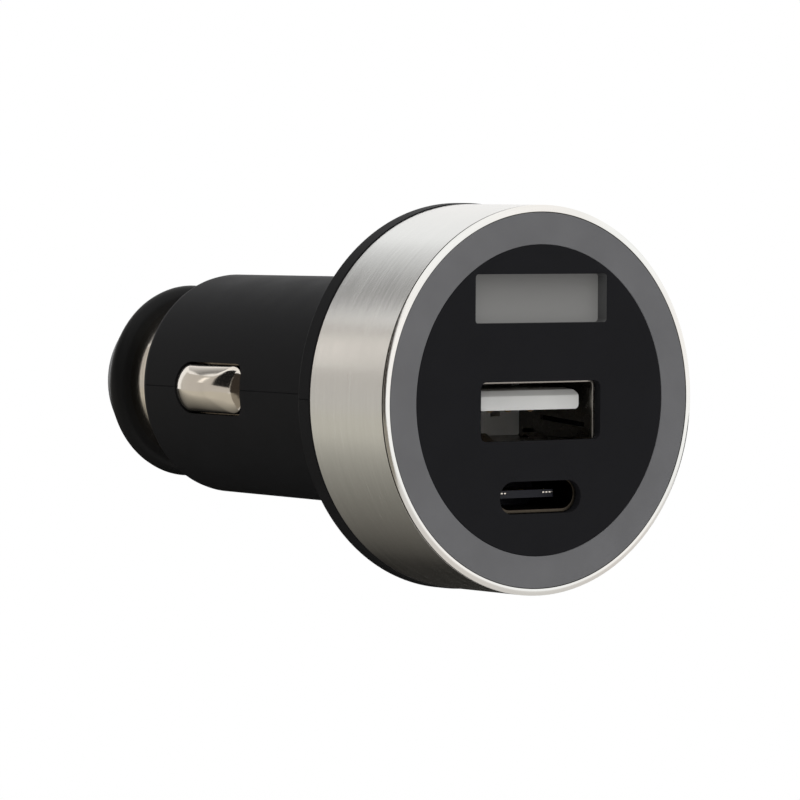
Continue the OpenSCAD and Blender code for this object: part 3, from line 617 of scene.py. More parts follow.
@dataclass
class Form:
    """A mesh in the making, shaped by bmesh operators."""

    mesh: bmesh.types.BMesh = field(default_factory=bmesh.new)

    def loop(self, points: Sequence[Vector]) -> list[bmesh.types.BMEdge]:
        """Adds a closed loop of edges.

        Args:
            points: its corners in order.

        Returns:
            The new edges.
        """
        verts = [self.mesh.verts.new(p) for p in points]
        return [self.mesh.edges.new((v, verts[(i + 1) % len(verts)])) for i, v in enumerate(verts)]

    def spun(
        self,
        edges: Sequence[bmesh.types.BMEdge],
        angle: float,
        steps: int,
        rise: float = 0.0,
        merge: bool = False,
    ) -> list[bmesh.types.BMEdge]:
        """Spins edges round the plug's axis.

        Args:
            edges: what is spun.
            angle: how far it turns.
            steps: the steps of that turn.
            rise: how far each step moves along the axis.
            merge: closes a full turn.

        Returns:
            The edges where the turn ends.
        """
        verts = list(dict.fromkeys(v for e in edges for v in e.verts))
        made = bmesh.ops.spin(
            self.mesh, geom=[*verts, *edges], cent=(0, 0, 0), axis=(0, 1, 0), dvec=(0, rise, 0),
            angle=angle, steps=steps, use_merge=merge, use_duplicate=False,
        )
        return [g for g in made["geom_last"] if isinstance(g, bmesh.types.BMEdge)]

    def turned(
        self, corners: Sequence[Corner], segments: int, steps: int, half: Side | None = None
    ) -> "Form":
        """Adds a form of revolution about the plug's axis.

        Args:
            corners: radius, place along the plug and fillet of each corner of its section.
            segments: steps in each fillet's arc.
            steps: facets in a full turn.
            half: makes only the half on that side of the parting plane.

        Returns:
            This form.
        """
        start = 1.0 if half is None else float(-half.value)
        edges = self.loop([Vector((r * start, y, 0.0)) for r, y in Outline(corners, segments).points()])
        if half is None:
            self.spun(edges, math.tau, steps, merge=True)
        else:
            bmesh.ops.contextual_create(self.mesh, geom=edges)
            last = self.spun(edges, math.pi, steps // 2)
            bmesh.ops.contextual_create(self.mesh, geom=last)
        return self.closed()

    def carried(self, outline: Sequence[Point], axis: Axis, low: float, high: float) -> "Form":
        """Adds a flat outline carried along an axis.

        Args:
            outline: points in the two other directions, in the order X, Y, Z.
            axis: the direction that it is carried in.
            low: where it starts.
            high: where it ends.

        Returns:
            This form.
        """
        spots: dict[Axis, Callable[[float, float, float], Vector]] = {
            Axis.ALONG: lambda a, b, depth: Vector((a, depth, b)),
            Axis.OUTWARD: lambda a, b, depth: Vector((depth, a, b)),
            Axis.UPWARD: lambda a, b, depth: Vector((a, b, depth)),
        }
        edges = self.loop([spots[axis](a, b, low) for a, b in outline])
        face = bmesh.ops.contextual_create(self.mesh, geom=edges)["faces"]
        made = bmesh.ops.extrude_face_region(self.mesh, geom=face, use_keep_orig=True)
        verts = [g for g in made["geom"] if isinstance(g, bmesh.types.BMVert)]
        bmesh.ops.translate(self.mesh, verts=verts, vec=spots[axis](0.0, 0.0, high - low))
        return self.closed()

    def block(self, low: Sequence[float], high: Sequence[float]) -> "Form":
        """Adds a box from its low corner to its high corner."""
        (left, front, bottom), (right, back, top) = low, high
        outline = [(left, bottom), (right, bottom), (right, top), (left, top)]
        return self.carried(outline, Axis.ALONG, front, back)

    def closed(self) -> "Form":
        """Merges doubles and turns the faces outwards."""
        bmesh.ops.remove_doubles(self.mesh, verts=self.mesh.verts[:], dist=CLOSE)
        bmesh.ops.recalc_face_normals(self.mesh, faces=self.mesh.faces[:])
        return self

    def combine(self, other: "Form", operation: str = "DIFFERENCE") -> "Form":
        """Cuts another form out of this one, or joins or intersects them.

        Args:
            other: the form that cuts, which is used up.
            operation: the Boolean's name.

        Returns:
            This form.
        """
        body = self._scratch("body")
        cutter = other._scratch("cutter")
        modifier = body.modifiers.new("combine", "BOOLEAN")
        modifier.operation = operation
        modifier.solver = "EXACT"
        modifier.object = cutter
        result = bpy.data.meshes.new_from_object(body.evaluated_get(bpy.context.evaluated_depsgraph_get()))
        self.mesh.clear()
        self.mesh.from_mesh(result)
        bpy.data.meshes.remove(result)
        for scratch in (body, cutter):
            data = scratch.data
            bpy.data.objects.remove(scratch)
            bpy.data.meshes.remove(data)
        other.mesh.free()
        return self

    def _scratch(self, name: str) -> bpy.types.Object:
        """Puts a copy of the form into a passing object."""
        data = bpy.data.meshes.new(name)
        self.mesh.to_mesh(data)
        return placed(name, data)

    def bevel(
        self, chosen: Callable[[bmesh.types.BMEdge], bool], width: float, segments: int = 2
    ) -> "Form":
        """Bevels the edges that a test picks.

        Args:
            chosen: tells whether an edge is bevelled.
            width: the bevel's width.
            segments: its steps.

        Returns:
            This form.
        """
        edges = [e for e in self.mesh.edges if len(e.link_faces) == 2 and chosen(e)]
        bmesh.ops.bevel(
            self.mesh, geom=edges, offset=width, offset_type="OFFSET", segments=segments, profile=0.5,
            affect="EDGES", clamp_overlap=True, material=-1,
        )
        return self

    def piece(
        self,
        name: str,
        finishes: Sequence[Finish],
        replaced: Sequence[str] = (),
        paint_face: Callable[[bmesh.types.BMFace], int] | None = None,
        crease: float = 32.0,
        body: str = "housing",
    ) -> bpy.types.Object:
        """Ends the form as a finished piece on one of the plug's bodies.

        Args:
            name: the piece's name.
            finishes: its finishes, the first one on every face that isn't painted otherwise.
            replaced: the fixed solids that it stands for.
            paint_face: gives the number of a face's finish.
            crease: the angle in degrees over which an edge stays sharp.
            body: the body that it rides on.

        Returns:
            The finished object.
        """
        limit = math.radians(crease)
        for face in self.mesh.faces:
            face.smooth = True
            face.material_index = paint_face(face) if paint_face else 0
        for edge in self.mesh.edges:
            edge.smooth = len(edge.link_faces) == 2 and edge.calc_face_angle(0.0) < limit
        data = bpy.data.meshes.new(name)
        self.mesh.to_mesh(data)
        self.mesh.free()
        for finish in finishes:
            data.materials.append(finish.material())
        made = placed(name, data)
        even = made.modifiers.new("even_normals", "WEIGHTED_NORMAL")
        even.mode = "FACE_AREA"
        even.keep_sharp = True
        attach(made, body)
        if replaced:
            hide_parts(*replaced)
        LOG.info("%s: %d faces on %s", name, len(data.polygons), body)
        return made


# Sub-assemblies


@dataclass(frozen=True)
class PortSize:
    """A port's drawn metal shell and its cut-out in the face."""

    width: float
    height: float
    radius: float
    middle: float
    back: float
    cut_width: float
    cut_height: float
    cut_radius: float
    cut_middle: float
    front: float = -11.8 * MM
    sheet: float = 0.3 * MM

    def outline(self, grow: float = 0.0) -> list[Point]:
        """Gives the shell's inner outline, grown by a margin."""
        width, height = self.width + 2 * grow, self.height + 2 * grow
        return rectangle(width, height, self.radius + grow, (0.0, self.middle), 10)

    def cut_out(self) -> list[Point]:
        """Gives the outline of the opening in the face."""
        return rectangle(self.cut_width, self.cut_height, self.cut_radius, (0.0, self.cut_middle), 10)

    def tube(self) -> Form:
        """Makes the drawn shell.

        Returns:
            The shell, with its front edge softened.
        """
        form = Form().carried(self.outline(self.sheet), Axis.ALONG, self.front, self.back)
        form.combine(Form().carried(self.outline(), Axis.ALONG, self.front - MM, self.back + MM))
        return form.bevel(on_front_edge(self.front), 0.06 * MM)


WIDE = PortSize(
    width=12.5 * MM, height=5.12 * MM, radius=0.25 * MM, middle=-1.06 * MM, back=2.2 * MM,
    cut_width=13.2 * MM, cut_height=5.16 * MM, cut_radius=0.6 * MM, cut_middle=-0.92 * MM,
)
SMALL = PortSize(
    width=8.34 * MM, height=2.56 * MM, radius=1.28 * MM, middle=-8.23 * MM, back=-4.3 * MM,
    cut_width=8.96 * MM, cut_height=2.86 * MM, cut_radius=1.43 * MM, cut_middle=-8.43 * MM,
)


@dataclass
class BodyHalves:
    """The two moulded halves of the body: head tube, collar and barrel."""

    barrel: float = 10.3 * MM
    barrel_wall: float = 1.2 * MM
    draft: float = 0.1 * MM
    straight_end: float = 17.78 * MM
    rear: float = 34.8 * MM
    rear_wall: float = 1.2 * MM
    rear_edge: float = 1.15 * MM
    collar_t: float = 1.64 * MM
    collar_edge: float = 0.2 * MM
    head_wall: float = 1.2 * MM
    neck_hole: float = 7.95 * MM
    seam: float = 0.07 * MM
    slot_start: float = 18.48 * MM
    slot_end: float = 28.94 * MM
    slot_half: float = 2.37 * MM
    slot_corner: float = 0.9 * MM
    slot_edge: float = 0.07 * MM
    pocket: float = 8.9 * MM
    pocket_room: float = 0.1 * MM
    cut_inside: float = 5.9 * MM
    cut_outside: float = 20 * MM
    ledge_t: float = 1.2 * MM
    ledge_w: float = 0.95 * MM
    rib_middle: float = 6.01 * MM
    rib_w: float = 1.2 * MM
    rib_low: float = -7.6 * MM

    def slot_outline(self) -> list[Point]:
        """Gives a side slot in Y and Z: round towards the nose, with corners towards the head."""
        half = self.slot_half
        corners = [
            (self.slot_start, -half, self.slot_corner), (self.slot_end, -half, half),
            (self.slot_end, half, half), (self.slot_start, half, self.slot_corner),
        ]
        return Outline(corners, 14).points()

    def section(self) -> list[Corner]:
        """Gives the corners of a half's wall: radius, place along the plug and fillet."""
        collar = cad_high.x
        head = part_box("light_ring")[1].x
        head_in = head - self.head_wall
        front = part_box("face_plate")[1].y
        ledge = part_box("display_board")[1].y
        inner = self.barrel - self.barrel_wall
        ledge_in = head_in - self.ledge_w
        rear_in = self.rear - self.rear_wall
        return [
            (head_in, front, 0), (head, front, 0), (head, -self.collar_t, 0),
            (collar, -self.collar_t, 0.06 * MM), (collar, 0, self.collar_edge), (self.barrel, 0, 0.12 * MM),
            (self.barrel, self.straight_end, 0), (self.barrel - self.draft, self.rear, self.rear_edge),
            (self.neck_hole, self.rear, 0.1 * MM), (self.neck_hole, rear_in, 0),
            (inner - self.draft, rear_in, 0), (inner, self.straight_end, 0), (inner, -self.collar_t, 0),
            (head_in, -self.collar_t, 0), (head_in, ledge + self.ledge_t, 0),
            (ledge_in, ledge + self.ledge_t, 0), (ledge_in, ledge, 0), (head_in, ledge, 0),
        ]

    def half(self, side: Side) -> None:
        """Makes one half.

        Args:
            side: which half, above or below the parting plane.
        """
        form = Form().turned(self.section(), 5, 192, side)
        form.bevel(self.on_parting_edge, self.seam, 1)
        low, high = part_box("right_contact")
        room = self.pocket_room
        pockets = sides(self.cut_inside, self.pocket)
        for slot, (left, right) in zip(sides(self.cut_inside, self.cut_outside), pockets):
            form.combine(Form().carried(self.slot_outline(), Axis.OUTWARD, *slot))
            near = (left, low.y - 3 * room, low.z - room)
            form.combine(Form().block(near, (right, high.y + 3 * room, high.z + room)))
        form.bevel(self.on_slot_edge, self.slot_edge, 2)
        if side is Side.LOW:
            low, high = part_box("main_board")
            half = self.rib_w / 2
            for left, right in sides(self.rib_middle - half, self.rib_middle + half):
                form.block((left, MM, self.rib_low), (right, high.y - MM, low.z))
        name = "upper_shell" if side is Side.HIGH else "lower_shell"
        form.piece(f"{name}_moulding", [SHELL_BLACK], [name])

    def on_parting_edge(self, edge: bmesh.types.BMEdge) -> bool:
        """Tells whether an edge is the outer rim of the parting plane, on the barrel or the collar."""
        first, last = edge.verts
        flat = abs(first.co.z) < 1e-7 and abs(last.co.z) < 1e-7
        outside = min(abs(first.co.x), abs(last.co.x)) > self.barrel - self.draft - 1e-6
        behind = min(first.co.y, last.co.y) > -self.collar_t - 1e-6
        return flat and outside and behind and edge.calc_face_angle(0.0) > 1.0

    def on_slot_edge(self, edge: bmesh.types.BMEdge) -> bool:
        """Tells whether an edge is the outer rim of a side slot."""
        inside = all(
            self.slot_start - 1e-6 < v.co.y < self.slot_end + 1e-6
            and abs(v.co.z) < self.slot_half + 1e-6
            and math.hypot(v.co.x, v.co.z) > self.barrel - self.draft - 0.02 * MM
            for v in edge.verts
        )
        off_seam = abs(edge.verts[0].co.z + edge.verts[1].co.z) > 1e-6
        return inside and off_seam and edge.calc_face_angle(0.0) > 0.6

    def build(self) -> None:
        """Makes both halves."""
        for side in Side:
            self.half(side)


@dataclass
class HeadRings:
    """The steel trim ring with its polished lip, and the grey light ring inside it."""

    lip: float = 0.16 * MM
    cone: float = 0.3 * MM
    groove: float = 0.22 * MM
    groove_depth: float = 0.1 * MM
    rear_gap: float = 0.06 * MM

    def build(self) -> None:
        """Makes both rings."""
        self.trim()
        self.guide()

    def trim(self) -> None:
        """Makes the steel ring, with a fine groove between its lip and its brushed side, painted dark as
        shade.
        """
        low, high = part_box("trim_ring")
        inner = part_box("light_ring")[1].x + 0.05 * MM
        lip_end = low.y + self.lip
        side = lip_end + self.groove
        corners = [
            (inner, low.y, 0.04 * MM), (high.x - self.cone, low.y, 0.5 * MM), (high.x, lip_end, 0.03 * MM),
            (high.x, lip_end + 0.03 * MM, 0), (high.x - self.groove_depth, lip_end + 0.03 * MM, 0),
            (high.x - self.groove_depth, side, 0), (high.x, side, 0.02 * MM),
            (high.x, high.y - self.rear_gap, 0.05 * MM), (inner, high.y - self.rear_gap, 0),
        ]

        def finish_of(face: bmesh.types.BMFace) -> int:
            """Gives a face its finish: brushed side, polished lip, or painted shade in the groove."""
            middle = face.calc_center_median()
            deep = math.hypot(middle.x, middle.z) < high.x - 0.01 * MM
            if deep and lip_end + 0.02 * MM < middle.y < side + 0.001 * MM:
                return 2
            return 0 if middle.y > side - 0.001 * MM else 1

        ring = Form().turned(corners, 6, 256)
        ring.piece("trim_ring_steel", [STEEL_SIDE, STEEL_LIP, GROOVE_SHADE], ["trim_ring"], finish_of)

    def guide(self) -> None:
        """Makes the light ring, stepped behind for the face plate's rear layer."""
        low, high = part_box("light_ring")
        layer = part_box("display_window")[0].y
        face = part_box("face_plate")[1].x
        inner = face - 0.33 * MM
        corners = [
            (inner, low.y, 0.05 * MM), (high.x, low.y, 0.05 * MM), (high.x, high.y, 0),
            (face + 0.05 * MM, high.y, 0), (face + 0.05 * MM, layer, 0), (inner, layer, 0),
        ]
        Form().turned(corners, 3, 192).piece("light_ring_guide", [LIGHT_GREY], ["light_ring"])


@dataclass
class Face:
    """The black disc with its three openings, and the grey window with a painted glow behind the upper one.
    """

    seat_gap: float = 0.05 * MM
    lap: float = 0.35 * MM
    corner: float = 0.3 * MM
    edge: float = 0.06 * MM

    def build(self) -> None:
        """Makes the disc and the window."""
        window_low, window_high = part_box("display_window")
        self.disc(window_low, window_high)
        self.window(window_low, window_high)

    def disc(self, window_low: Vector, window_high: Vector) -> None:
        """Makes the disc.

        Args:
            window_low: the window's low corner.
            window_high: the window's high corner.
        """
        low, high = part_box("face_plate")
        layer = window_low.y
        front_radius = high.x - 0.355 * MM
        corners = [
            (0.0, low.y, 0), (front_radius, low.y, 0.05 * MM), (front_radius, layer, 0), (high.x, layer, 0),
            (high.x, high.y, 0), (0.0, high.y, 0),
        ]
        form = Form().turned(corners, 3, 192)
        middle = (0.0, (window_low.z + window_high.z) / 2)
        size = window_high - window_low
        opening = rectangle(size.x - 2 * self.lap, size.z - 2 * self.lap, self.corner, middle)
        seat = rectangle(size.x + 2 * self.seat_gap, size.z + 2 * self.seat_gap, self.corner, middle)
        front, back = low.y - MM, high.y + MM
        form.combine(Form().carried(opening, Axis.ALONG, front, layer + 0.1 * MM))
        form.combine(Form().carried(seat, Axis.ALONG, layer, back))
        for port in (WIDE, SMALL):
            form.combine(Form().carried(port.cut_out(), Axis.ALONG, front, back))
            room = port.outline(port.sheet + self.seat_gap)
            form.combine(Form().carried(room, Axis.ALONG, port.front - self.seat_gap, back))
        inside = front_radius - 0.2 * MM
        at_front = on_front_edge(low.y)
        form.bevel(lambda e: at_front(e) and all(v.co.xz.length < inside for v in e.verts), self.edge)

        def finish_of(face: bmesh.types.BMFace) -> int:
            """Gives the walls of the display opening painted light: a lighter grey than the disc's black."""
            spot = face.calc_center_median()
            wall = abs(face.normal.y) < 0.1 and low.y + self.edge < spot.y < layer
            return 1 if wall and spot.z > window_low.z and abs(spot.x) < window_high.x else 0

        form.piece("face_disc", [FACE_BLACK, RECESS_LIT], ["face_plate"], finish_of)

    def window(self, low: Vector, high: Vector) -> None:
        """Makes the window.

        Args:
            low: its low corner.
            high: its high corner.
        """
        size = high - low
        # painted glow and a fade of grey over the window's height
        finish = GlowingPane(
            "window_grey", "window_grey", (0.172, 0.171, 0.166), 0.5, gloss=0.12,
            top_colour=(0.105, 0.104, 0.1), top=high.z, bottom=low.z,
        )
        outline = rectangle(size.x, size.z, self.corner, (0.0, (low.z + high.z) / 2))
        form = Form().carried(outline, Axis.ALONG, low.y, high.y)
        form.piece("display_pane", [finish], ["display_window"])


@dataclass
class WidePort:
    """The wide port: its stamped shell, its pale insulator and its four bent contacts."""

    size: PortSize = WIDE
    tongue_half: float = 5.55 * MM
    tongue_tip: float = -10.8 * MM
    tongue_top: float = 0.95 * MM
    tongue_low: float = -0.89 * MM
    tongue_bevel: float = 0.6 * MM
    block_front: float = -1.5 * MM
    block_back: float = 1.9 * MM
    pins: tuple[float, ...] = (-3.5 * MM, -1.0 * MM, 1.0 * MM, 3.5 * MM)
    pin_w: float = 1.0 * MM
    pin_t: float = 0.3 * MM
    bump: float = 0.4 * MM
    bump_run: float = 0.9 * MM
    bump_middle: float = -6.5 * MM
    finger_middle: float = 3.1 * MM
    finger_w: float = 2.0 * MM
    finger_root: float = -9.4 * MM
    finger_len: float = 3.4 * MM
    finger_rise: float = 0.65 * MM
    finger_room: float = 0.15 * MM
    slit_middle: Point = (-7.6 * MM, -2.1 * MM)
    slit_len: float = 6.2 * MM
    slit_h: float = 0.45 * MM
    slit_fall: float = 0.466 * MM
    slit_shade_low: Point = (-10.8 * MM, -3.4 * MM)
    slit_shade_high: Point = (-4.0 * MM, -0.9 * MM)
    leg_middle: float = -2.8 * MM
    leg_w: float = 1.6 * MM

    def build(self) -> None:
        """Makes the port's pieces."""
        self.shell()
        self.insulator()
        for number, place in enumerate(self.pins, 1):
            self.contact(number, place)

    def shell(self) -> None:
        """Makes the stamped shell with its floor springs, side slits and legs, and black sheets of painted
        shade behind the slits.
        """
        form = self.size.tube()
        floor = self.size.middle - self.size.height / 2 - self.size.sheet
        near, far = self.finger_middle - self.finger_w / 2, self.finger_middle + self.finger_w / 2
        windows = Form()
        for left, right in sides(near, far):
            low = (left, self.finger_root, floor - MM)
            windows.block(low, (right, self.finger_root + self.finger_len, floor + MM))
        form.combine(windows)
        side = self.size.width / 2
        outside = side + self.size.sheet
        form.combine(Form().carried(self.slit(), Axis.OUTWARD, -side - MM, side + MM))
        spring = ribbon(self.finger_path(floor + self.size.sheet / 2), self.size.sheet * 0.8)
        for place in sides(near + self.finger_room, far - self.finger_room):
            form.carried(spring, Axis.OUTWARD, *place)
        # black sheets just outside the side slits, standing in for the shade behind them
        slit_shade = Form()
        for left, right in sides(outside + 0.01 * MM, outside + 0.05 * MM):
            slit_shade.block((left, *self.slit_shade_low), (right, *self.slit_shade_high))
        slit_shade.piece("wide_port_slit_shade", [SLIT_SHADE])
        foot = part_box("wide_port_shell")[0].z
        half = self.leg_w / 2
        for left, right in sides(side, outside):
            form.block((left, self.leg_middle - half, foot), (right, self.leg_middle + half, floor + MM))
        form.piece("wide_port_drawn_shell", [PORT_STEEL], ["wide_port_shell"])

    def slit(self) -> list[Point]:
        """Gives the slanted slit of both sides in Y and Z."""
        y, z = self.slit_middle
        run, fall, half = self.slit_len / 2, self.slit_fall / 2, self.slit_h / 2
        return [
            (y - run, z - fall - half), (y + run, z + fall - half), (y + run, z + fall + half),
            (y - run, z - fall + half),
        ]

    def finger_path(self, level: float) -> list[Point]:
        """Gives a floor spring's middle line.

        Args:
            level: the height of the sheet's middle.

        Returns:
            Points in Y and Z from the root to the curled end.
        """
        rise_run, curl_run = 1.5 * MM, 0.8 * MM
        start = self.finger_root + 0.5 * MM
        path = [(self.finger_root - 0.05 * MM, level)]
        for k in range(9):
            t = k / 8
            path.append((start + rise_run * t, level + self.finger_rise * t * t * (3 - 2 * t)))
        for k in range(1, 6):
            t = k / 5
            path.append((start + rise_run + curl_run * t, level + self.finger_rise * (1 - 0.45 * t * t)))
        return path

    def insulator(self) -> None:
        """Makes the pale tongue with its rear block, grooved below for the contacts."""
        half, tip, top, low = self.tongue_half, self.tongue_tip, self.tongue_top, self.tongue_low
        section = [
            (-half, low, 0.4 * MM), (half, low, 0.4 * MM), (half, top, 0.8 * MM), (-half, top, 0.8 * MM),
        ]
        form = Form().carried(Outline(section, 8).points(), Axis.ALONG, tip, self.block_front + 0.1 * MM)
        run = 2 * self.tongue_bevel
        wedge = [
            (tip - run, top + MM), (tip - run, top - 2 * self.tongue_bevel), (tip, top - self.tongue_bevel),
            (tip + run / 3, top - 0.22 * self.tongue_bevel), (tip + run, top), (tip + run, top + MM),
        ]
        form.combine(Form().carried(wedge, Axis.OUTWARD, -2 * half, 2 * half))
        form.bevel(on_front_edge(tip), 0.1 * MM)
        rear = self.size.outline(-0.05 * MM)
        form.combine(Form().carried(rear, Axis.ALONG, self.block_front, self.block_back), "UNION")
        grooves = Form()
        room = self.pin_w / 2 + 0.05 * MM
        roof = low + self.pin_t + 0.05 * MM
        for x in self.pins:
            grooves.block((x - room, tip + 0.3 * MM, low - MM), (x + room, 3 * MM, roof))
        form.combine(grooves)
        form.piece("wide_port_insulator", [PALE], ["wide_port_tongue"], crease=40)

    def contact(self, number: int, place: float) -> None:
        """Makes one contact: flush in the tongue, bent down to a point, then down to the board.

        Args:
            number: its number from the left.
            place: the X of its middle.
        """
        level = self.tongue_low + self.pin_t / 2
        tail = self.size.back + 0.1 * MM + self.pin_t / 2
        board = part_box("main_board")[1].z
        front = [(self.tongue_tip + 0.45 * MM, level), (self.bump_middle - self.bump_run, level)]
        bend = [(self.bump_middle, level - self.bump), (self.bump_middle + self.bump_run, level)]
        rear = [
            (tail - 0.3 * MM, level), (tail - 0.09 * MM, level - 0.09 * MM), (tail, level - 0.3 * MM),
            (tail, board),
        ]
        width = self.pin_w / 2
        narrow = 0.6 * width
        strip = ribbon([*front, *bend], self.pin_t * 0.8)
        form = Form().carried(strip, Axis.OUTWARD, place - narrow, place + narrow)
        form.carried(ribbon([bend[1], *rear], self.pin_t), Axis.OUTWARD, place - width, place + width)
        for vert in form.mesh.verts:
            if abs(vert.co.y - self.bump_middle) < 0.3 * MM:
                vert.co.x = place + (vert.co.x - place) * 0.4
        form.piece(f"wide_port_strip_{number}", [PORT_GOLD], [f"wide_port_contact_{number}"])


@dataclass
class SmallPort:
    """The small port: its drawn oval shell and the steel plate in the middle of its tongue."""

    size: PortSize = SMALL
    plate_half: float = 3.4 * MM
    plate_t: float = 0.14 * MM
    pads: tuple[float, ...] = tuple(x * MM for x in (-3.0, -2.65, -2.3, 1.95, 2.3, 2.65, 2.95))
    pad_half: float = 0.1 * MM

    def build(self) -> None:
        """Makes the port's pieces."""
        self.size.tube().piece("small_port_drawn_shell", [PORT_STEEL_SHADED], ["small_port_shell"])
        low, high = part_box("small_port_tongue")
        level = (low.z + high.z) / 2
        wide, front, back = self.plate_half, low.y + 0.5 * MM, high.y - 2 * MM
        outline = [(-wide, back, 0), (-wide, front, 0.2 * MM), (wide, front, 0.2 * MM), (wide, back, 0)]
        half = self.plate_t / 2
        plate = Form().carried(Outline(outline, 4).points(), Axis.UPWARD, level - half, level + half)
        plate.piece("small_port_middle_plate", [PORT_STEEL])
        pads = Form()
        for x in self.pads:
            near = (x - self.pad_half, low.y - 0.015 * MM, level + 0.05 * MM)
            pads.block(near, (x + self.pad_half, low.y + 0.4 * MM, level + 0.15 * MM))
        pads.piece("small_port_pad_ends", [NICKEL])


@dataclass
class Nose:
    """The plated neck, the black nose and the sprung tip."""

    neck_radius: float = 7.9 * MM
    undercut: float = 0.35 * MM
    undercut_start: float = 37.8 * MM
    thread: float = 6.6 * MM
    bore: float = 5.9 * MM
    rim_place: float = 1.06 * MM
    rim_land: float = 0.35 * MM
    end_wall: float = 1.8 * MM
    end_radius: float = 6.7 * MM
    hole: float = 3.0 * MM
    foot_len: float = 1.15 * MM
    pin: float = 2.9 * MM
    pilot: float = 3.2 * MM
    pilot_len: float = 1.4 * MM
    wire: float = 0.56 * MM
    turns: float = 6.5
    travel: float = 2.5 * MM

    def build(self) -> None:
        """Makes the three turned pieces and the spring behind the tip."""
        self.neck()
        self.cap()
        self.tip()
        self.coil()

    def coil(self) -> None:
        """Makes the coil spring, with a closed turn at each end."""
        low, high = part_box("tip_spring")
        half = self.wire / 2
        middle = high.x - half
        length = high.y - low.y
        form = Form()
        angles = [math.tau * k / 10 for k in range(10)]
        section = [(middle + half * math.cos(a), low.y + half * (1 + math.sin(a))) for a in angles]
        edges = form.loop([Vector((x, y, 0.0)) for x, y in section])
        closed = 1.05 * self.wire
        for turns, rise in ((1.0, closed), (self.turns - 2, length - self.wire - 2 * closed), (1.0, closed)):
            steps = round(turns * 32)
            edges = form.spun(edges, math.tau * turns, steps, rise / steps)
        bmesh.ops.holes_fill(form.mesh, edges=[e for e in form.mesh.edges if e.is_boundary])
        spring = form.closed().piece("tip_coil", [SPRING], ["tip_spring"])
        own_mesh(spring)

    def neck(self) -> None:
        """Makes the plated neck: a foot inside the barrel, the polished stretch and the screwed end."""
        low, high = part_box("neck_ring")
        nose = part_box("nose_cap")[0].y
        foot = low.y + self.foot_len
        radius, slim = self.neck_radius, self.neck_radius - self.undercut
        corners = [
            (self.bore, low.y, 0), (high.x, low.y, 0), (high.x, foot, 0), (radius, foot, 0),
            (radius, self.undercut_start, 0.1 * MM), (slim, self.undercut_start + self.undercut, 0.1 * MM),
            (slim, nose, 0), (self.thread, nose, 0), (self.thread, high.y, 0.3 * MM), (self.bore, high.y, 0),
        ]
        Form().turned(corners, 4, 160).piece("neck_plated", [NICKEL], ["neck_ring"])

    def cap(self) -> None:
        """Makes the nose: a flared rim, a tapered end and the cavity that screws over the neck."""
        low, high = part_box("nose_cap")
        root = self.neck_radius + 0.1 * MM
        cavity = high.y - self.end_wall
        screw = self.thread + 0.05 * MM
        flare = []
        for k in range(13):
            turn = math.pi / 2 * k / 12
            radius = root + (high.x - root) * math.sin(turn)
            flare.append((radius, low.y + self.rim_place * (1 - math.cos(turn)), 0))
        corners = [
            (screw, low.y, 0), *flare, (high.x - 0.1 * MM, low.y + self.rim_place + self.rim_land, 0.3 * MM),
            (self.end_radius, high.y, 0.8 * MM), (self.hole, high.y, 0.2 * MM), (self.hole, cavity, 0),
            (screw, cavity, 0),
        ]
        Form().turned(corners, 8, 160).piece("nose_moulding", [NOSE_BLACK], ["nose_cap"])

    def tip(self) -> None:
        """Makes the sprung tip contact: a domed pin, its flange and the pilot in the spring."""
        low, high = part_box("tip_contact")
        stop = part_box("nose_cap")[1].y - self.end_wall - 0.05 * MM
        flange = low.y + self.pilot_len
        corners = [
            (0.0, low.y, 0), (self.pilot, low.y, 0.3 * MM), (self.pilot, flange, 0),
            (high.x, flange, 0.1 * MM), (high.x, stop, 0.1 * MM), (self.pin, stop, 0),
            (self.pin, high.y, 1.1 * MM), (0.0, high.y, 0),
        ]
        form = Form().turned(corners, 8, 96)
        form.piece("tip_plated", [NICKEL], ["tip_contact"], body="tip")


